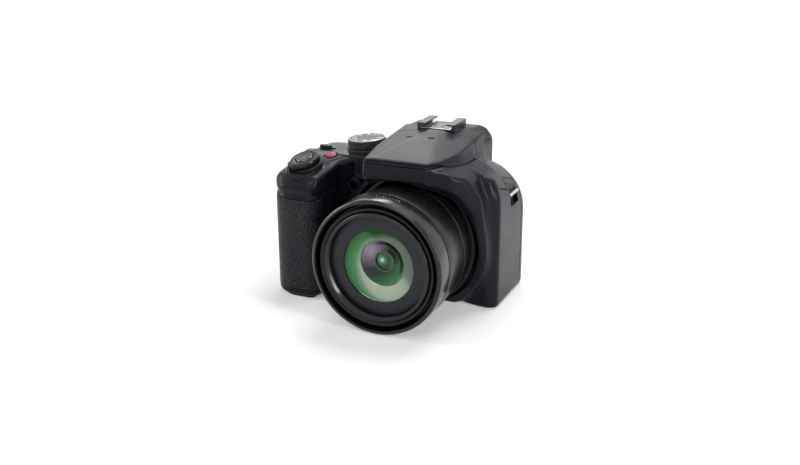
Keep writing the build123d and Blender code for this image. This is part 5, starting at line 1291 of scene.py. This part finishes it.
@dataclass
class Optics:
    """The name ring, left bare, and the glass with the painted reflections that show through it; depths count
    from y = 0.
    """

    glass_r: float = 20.4
    glass_rim: float = 79.35
    glass_dome: float = 0.9
    glass_thick: float = 0.5
    bowl_r: float = 12.2
    bowl_foot: float = 71.6
    core_r: float = 5.2
    core_top: float = 73.3
    core_dome: float = 0.9
    turns: int = 128

    def build(self, maker: Maker) -> None:
        """Makes the ring, the front glass and the faces behind it with their painted reflections, from the
        front to the back.
        """
        ring = [((-80.9, 27.15), 0.1), ((-81.1, 19.6), 0.3), ((-80.3, 19.6), 0.05), ((-79.6, 27.15), 0.05)]
        maker.piece("bare_ring", turned(ring), NAME_RING, "inner_tube", "barrel_plastic", "name_ring")
        place = Place((0, 0, LENS_Z), LENS.axes)
        r = np.linspace(0, self.glass_r, 14)
        dome = np.stack([self.glass_rim + self.glass_dome * (1 - (r / self.glass_r) ** 2), r], 1)
        lens = np.concatenate([dome, (dome - (self.glass_thick, 0))[::-1]])
        maker.piece("front_glass", lathe(lens, place, self.turns), FRONT_GLASS, "inner_tube", "glass",
                    "front_element")
        # Faces behind the glass, coloured with painted reflections of the coatings
        cell = soften([((72.0, 20.45), 0), ((78.8, 20.45), 0.1), ((78.4, 20.0), 0.2), ((75.6, 12.7), 2.0),
                       ((75.3, 12.4), 0.1), ((72.0, 12.4), 0)])
        maker.piece("painted_reflection_ring", lathe(cell, place, self.turns, True), OUTER_PAINTED_REFLECTION, "inner_tube", "glass")
        edge = soften([((75.1, 12.45), 0), ((75.7, 12.45), 0.1), ((75.7, 12.05), 0.15), ((75.1, 11.9), 0)])
        core_edge = soften([((72.7, 5.5), 0), ((73.5, 5.4), 0.1), ((73.5, 5.05), 0.15), ((72.7, 5.0), 0)])
        edges = lathe(edge, place, 96, True) + lathe(core_edge, place, 72, True)
        # The elements' edges, pale with a painted highlight
        maker.piece("element_edges", edges, EDGE_PAINTED_HIGHLIGHT, "inner_tube", "glass")
        foot, core_r = self.bowl_foot, self.core_r
        bowl = soften([((foot, self.bowl_r), 0), ((75.2, self.bowl_r), 0.1), ((74.0, 9.5), 4.0),
                       ((72.9, core_r), 1.0), ((foot, core_r), 0)])
        maker.piece("painted_reflection_bowl", lathe(bowl, place, self.turns, True), INNER_PAINTED_REFLECTION, "inner_tube", "glass",
                    "second_element")
        t = np.linspace(0, core_r, 8)
        core = np.stack([self.core_top - self.core_dome * (t / core_r) ** 2, t], 1)
        core = np.concatenate([core, [[foot, core_r], [foot, 0]]])
        maker.piece("painted_reflection_core", lathe(core, place, 72), CORE_PAINTED_REFLECTION, "inner_tube", "glass")


@dataclass
class Deck:
    """The controls on the top plate."""

    button_r: float = 5.0
    lever_steps: int = 360
    tab_bearing: float = -125.0       # degrees to the zoom ring's tab
    tab_reach: float = 1.8
    tab_half: float = 0.42            # radians
    tab_flank: float = 0.05           # radians over which it rises
    ribs: int = 60                    # round a full turn
    rib_half: float = 0.40            # radians of the tab that have them
    rib_high: float = 0.14
    knurls: int = 34
    knurl_steps: int = 10             # points from one groove to the next
    knurl_rows: int = 25
    knurl_twist: float = 0.56         # radians from the lowest row to the highest
    dial_r: float = 11.0
    dial_edge_r: float = 10.6         # of the knurl's first and last row
    dial_low: float = 1.5
    dial_high: float = 5.55
    groove: float = 0.75
    face_r: float = 9.75
    digits_r: float = 7.9

    def build(self, maker: Maker) -> None:
        """Makes the release, zoom ring, dial, buttons, power switch and the shoe's springs."""
        self.release(maker)
        self.dial(maker)
        deep = -5.0
        maker.piece("movie_cap", pillow(circle(3.2, 64), deep, 0.25, 0.35, MOVIE, 0.25), RED, "movie",
                    "movie_red", "movie_button")
        maker.piece("burst_cap", pillow(circle(2.6, 48), deep, 0.9, 0.35, BURST, 0.1), CONTROL, "burst",
                    "control_plastic", "burst_button")
        knob = Place(tuple(POWER.put(np.array([-2.0, 0, 0]))), POWER.axes)
        maker.piece("power_knob", pillow(bar(7.0, 3.4, 1.2), -2.4, 1.5, 0.5, knob, 0.15), CONTROL, "power",
                    "control_plastic", "power_switch")
        low, edge = 91.2, 0.1
        strips = [pillow(bar(18.3, 1.6, 0.2), low, 91.62, edge, Place((0, -2.7, 0)))]
        strips += [pillow(bar(2.2, 16.8, 0.2), low, 91.58, edge, Place((side * 8.0, 6.2, 0)))
                   for side in (-1, 1)]
        maker.piece("shoe_spring", joined(strips), BRIGHT, "camera", "bright_metal")

    def release(self, maker: Maker) -> None:
        """The release button of spun metal in its zoom ring, whose tab has fine ribs.

        At angle t from its middle the tab stands out by its reach / (1 + exp((t - half) / flank)).
        """
        foot, r = -2.2, self.button_r
        button = soften([((foot, 0), 0), ((foot, r), 0), ((4.2, r), 0.5), ((5.0, 4.3), 0.5), ((4.85, 2.0), 4),
                         ((4.7, 0), 0)], False)
        maker.piece("release_cap", lathe(button, SHUTTER, 96), SPUN, "shutter", "button_metal",
                    "shutter_button")
        angle = bearings(self.lever_steps)
        off = np.abs((angle - math.radians(self.tab_bearing) + np.pi) % (2 * np.pi) - np.pi)
        tab = self.tab_reach / (1 + np.exp((off - self.tab_half) / self.tab_flank))
        rib = self.rib_high * np.cos(angle * self.ribs) * (off < self.rib_half)
        height, radius = np.array([(0.7, 8.2), (1.0, 8.4), (3.7, 8.4), (4.15, 8.15), (4.3, 7.7), (4.3, 6.1),
                                   (4.0, 5.55), (0.7, 5.5)]).T
        wide = radius[:, None] + (tab + rib * (height[:, None] < 4)) * (radius[:, None] > 7)
        ring = Skin(rings(wide, height, self.lever_steps), [weave(len(height), self.lever_steps, True)])
        maker.piece("zoom_ring", ring.at(SHUTTER), CONTROL, "lever", "control_plastic", "zoom_lever")

    def dial(self, maker: Maker) -> None:
        """The mode dial: a diamond knurl, a bright bevel and plain digits.

        The side's radius is the dial's less the groove times one minus the least of |sin(n(t + h))| and
        |sin(n(t - h))|, which leaves small pyramids between two crossing sets of grooves.
        """
        turns = self.knurls * self.knurl_steps
        angle = bearings(turns)
        height = np.linspace(self.dial_low, self.dial_high, self.knurl_rows)
        twist = self.knurl_twist * (height[:, None] - height[0]) / (height[-1] - height[0])
        one, two = (np.abs(np.sin(self.knurls / 2 * (angle[None] + way * twist))) for way in (1, -1))
        radius = self.dial_r - self.groove * (1 - np.minimum(one, two))
        radius[[0, -1]] = self.dial_edge_r
        foot = np.repeat([[0.001], [10.3]], turns, 1)
        points = rings(np.concatenate([foot, radius]), np.concatenate([[1.3, 1.3], height]), turns)
        knurl = Skin(points, [weave(len(height) + 2, turns)]).at(DIAL)
        # The knurl's lighter colour is a painted sheen
        maker.piece("dial_knurl", knurl, KNURL_PAINTED_SHEEN, "dial", "control_plastic", "mode_dial", sharp=25)
        bevel = soften([((5.4, 10.62), 0), ((5.95, 10.75), 0.2), ((6.28, 10.3), 0.2), ((6.3, 9.75), 0.1),
                        ((5.9, 9.7), 0), ((5.4, 9.7), 0)])
        maker.piece("dial_bevel", lathe(bevel, DIAL, 160, True), STEEL, "dial", "control_plastic")
        maker.piece("dial_face", pillow(circle(self.face_r, 96), 5.2, 6.12, 0.1, DIAL), CONTROL, "dial",
                    "control_plastic")
        digits = [numeral(value, DIAL, self.digits_r, 2 * math.pi * value / 10) for value in range(10)]
        maker.piece("dial_numbers", joined(digits), WHITE_INK, "dial", "control_plastic")


def numeral(value: int, place: Place, radius: float, bearing: float) -> Skin:
    """A plain digit drawn with up to seven straight strokes on a dial.

    Args:
        value: The digit.
        place: The dial's frame.
        radius: How far from its axis the digit stands.
        bearing: At which angle.

    Returns:
        The strokes, just proud of the face.
    """
    # Middle of each stroke, across and up, and whether it stands
    strokes = {"a": (0, 1.3, 0), "b": (0.8, 0.65, 1), "c": (0.8, -0.65, 1), "d": (0, -1.3, 0),
               "e": (-0.8, -0.65, 1), "f": (-0.8, 0.65, 1), "g": (0, 0, 0)}
    shown = ["abcdef", "bc", "abged", "abgcd", "fgbc", "afgcd", "afgedc", "abc", "abcdefg", "abcdfg"][value]
    face, high, thick = 6.0, 6.19, 0.5
    axes = np.array(place.axes, float)
    across = np.array([math.sin(bearing), -math.cos(bearing)]) @ axes[:2]
    up = np.array([math.cos(bearing), math.sin(bearing)]) @ axes[:2]
    middle = np.array(place.origin) + radius * up
    drawn = []
    for x, y, standing in (strokes[key] for key in shown):
        spot = Place(tuple(middle + x * across + y * up), (tuple(across), tuple(up), tuple(axes[2])))
        outline = bar(thick, 1.5, 0.1) if standing else bar(1.7, thick, 0.1)
        drawn.append(pillow(outline, face, high, 0.04, spot, 0, 1))
    return joined(drawn)


@dataclass(frozen=True)
class Lamp:
    """A rectangular area light that looks at the object."""

    name: str
    spot: Vector                  # metres
    size: tuple[float, float]     # metres
    power: float                  # watts


LAMPS = (Lamp("top_box", (0.05, 0.30, 0.80), (0.7, 0.4), 5.0),
         Lamp("left_strip", (-0.80, -0.30, 0.35), (0.16, 0.8), 3.2),
         Lamp("right_box", (0.80, -0.40, 0.30), (0.10, 0.55), 3.6),
         Lamp("front_fill", (0.05, -0.85, 0.75), (0.6, 0.3), 2.0),
         Lamp("back_strip", (-0.36, 0.70, 0.46), (0.30, 0.10), 0.7))


@dataclass
class Studio:
    """The floor, the lights and the camera."""

    azimuth: float = 23.9340359       # degrees from the lens to the camera's left
    elevation: float = 19.0375516
    roll: float = -0.225045699
    distance: float = 592.990453      # mm
    focal: float = 1070.54602         # pixels
    shift: tuple[float, float] = (11.3677039, 2.59891017)   # mm from the picture's middle to the target
    width: int = 800                  # pixels
    sensor: float = 36.0              # mm
    target: Vector = (0.0, -25.0, 40.0)
    lit: Vector = (0.0, -0.02, 0.045)     # metres, where the lamps look
    ambient: float = 0.15
    glow: float = 0.3                 # what the floor's own light adds to the lamps', where it is seen
    paper: tuple[float, float] = (0.25, 0.6)    # metres over which the floor turns plain white
    floor_r: float = 2500.0
    floor_z: float = -0.02

    def build(self) -> None:
        """Sets out the studio."""
        bpy.context.scene.view_settings.view_transform = "Standard"
        self.camera()
        self.floor()
        self.world()
        for lamp in LAMPS:
            data = bpy.data.lights.new(lamp.name, "AREA")
            data.shape, data.energy = "RECTANGLE", lamp.power
            data.size, data.size_y = lamp.size
            placed(lamp.name, data).matrix_world = aim(lamp.spot, self.lit)

    def world(self) -> None:
        """White wherever it is seen, and a soft grey light otherwise."""
        bpy.context.scene.world = bpy.data.worlds.new("studio")
        tree = Tree(bpy.context.scene.world)
        soft = tree.add("Background", {"Color": linear("#e6ebf2"), "Strength": self.ambient})
        white = tree.add("Background", {"Color": linear("#ffffff"), "Strength": 1.0})
        tree.finish(tree.add("MixShader", {0: tree.seen(), 1: soft.outputs[0], 2: white.outputs[0]}))

    def floor(self) -> None:
        """A round floor, white where light falls and grey in the shadow, and plain white further out."""
        tree = Tree(bpy.data.materials.new("paper_floor"))
        paper = tree.add("BsdfDiffuse", {"Color": linear("#f4f4f4")})
        glow, white = (tree.add("Emission", {"Color": linear("#ffffff"), "Strength": strength})
                       for strength in (self.glow, 1.0))
        near = tree.add("AddShader", {0: paper.outputs[0], 1: glow.outputs[0]})
        away = tree.add("VectorMath", {0: tree.add("TexCoord").outputs["Object"]}, operation="LENGTH")
        share = tree.ranged(away.outputs["Value"], self.paper, (0.0, 1.0), interpolation_type="SMOOTHSTEP")
        shown = tree.add("MixShader", {0: share, 1: near.outputs[0], 2: white.outputs[0]})
        mix = tree.add("MixShader", {0: tree.seen(), 1: paper.outputs[0], 2: shown.outputs[0]})
        disc = circle(self.floor_r, 96)
        mesh = bpy.data.meshes.new("floor")
        points = np.column_stack([disc, np.full(len(disc), self.floor_z)])
        mesh.from_pydata((points * MM).tolist(), [], [list(range(len(disc)))])
        mesh.materials.append(tree.finish(mix))
        placed("floor", mesh)

    def camera(self) -> None:
        """The camera at the photograph's place and angle."""
        a, e, r = (math.radians(v) for v in (self.azimuth, self.elevation, self.roll))
        back = np.array([math.sin(a) * math.cos(e), -math.cos(a) * math.cos(e), math.sin(e)])
        flat = np.array([math.cos(a), math.sin(a), 0.0])
        rise = np.cross(back, flat)
        right, up = math.cos(r) * flat + math.sin(r) * rise, -math.sin(r) * flat + math.cos(r) * rise
        spot = np.array(self.target) - self.shift[0] * right - self.shift[1] * up + self.distance * back
        data = bpy.data.cameras.new("camera")
        data.sensor_width, data.lens = self.sensor, self.sensor * self.focal / self.width
        data.clip_start = 0.01
        camera = placed("camera", data)
        camera.matrix_world = matrix(np.stack([right, up, back], 1), spot * MM)
        bpy.context.scene.camera = camera


def matrix(axes: np.ndarray, spot: np.ndarray) -> Matrix:
    """A placing matrix from unit axes as columns and a place in metres."""
    return Matrix([*np.column_stack([axes, spot]).tolist(), [0, 0, 0, 1]])


def aim(spot: Vector, target: Vector) -> Matrix:
    """A matrix at one place that looks along its own -Z at another."""
    back = np.subtract(spot, target)
    back = back / np.linalg.norm(back)
    right = np.cross((0, 0, 1), back)
    right = right / np.linalg.norm(right)
    return matrix(np.stack([right, np.cross(back, right), back], 1), np.array(spot))


def dress_rest(maker: Maker) -> None:
    """Finishes for the CAD nodes that stay."""
    maker.dress(CONTROL, "playback_button", "lvf_button", "disp_button", "menu_button", "cursor_pad",
                "set_button", "rear_dial", "diopter_dial")
    maker.dress(SOFT_RUBBER, "eyecup", "terminal_door")
    maker.dress(BODY, "battery_door", "battery_latch")
    maker.dress(SHOE, "hot_shoe")
    maker.dress(STEEL, "shoe_contacts", "tripod_socket", "hinge_pins", "guide_rods", "terminal_sockets",
                "zoom_motor")
    maker.dress(BRIGHT, "strap_lugs")
    maker.dress(LAMP_GLASS, "af_lamp")
    maker.dress(WINDOW, "flash_window")
    maker.dress(SCREEN_GLASS, "lcd_window")
    maker.dress(PANEL, "lcd_panel")
    maker.dress(INNER_GLASS, "rear_element", "evf_lens", "flash_tube")
    maker.dress(DARK, "aperture_unit", "cam_ring", "zoom_gear", "lens_base", "chassis", "battery_chamber",
                "evf_module", "microphones", "speaker", "flash_capacitor", "image_sensor")
    maker.dress(BOARD, "main_board", "memory_card")
    maker.dress(WRAP, "battery")


def main() -> None:
    """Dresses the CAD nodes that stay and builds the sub-assemblies."""
    logging.basicConfig(level=logging.INFO, format="%(name)s: %(message)s")
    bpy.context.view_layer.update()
    maker = Maker()
    dress_rest(maker)
    for assembly in (Casing(), Barrel(), Optics(), Deck()):
        assembly.build(maker)
        LOG.info("%s done", type(assembly).__name__)
    Studio().build()


if __name__ == "__main__":
    main()
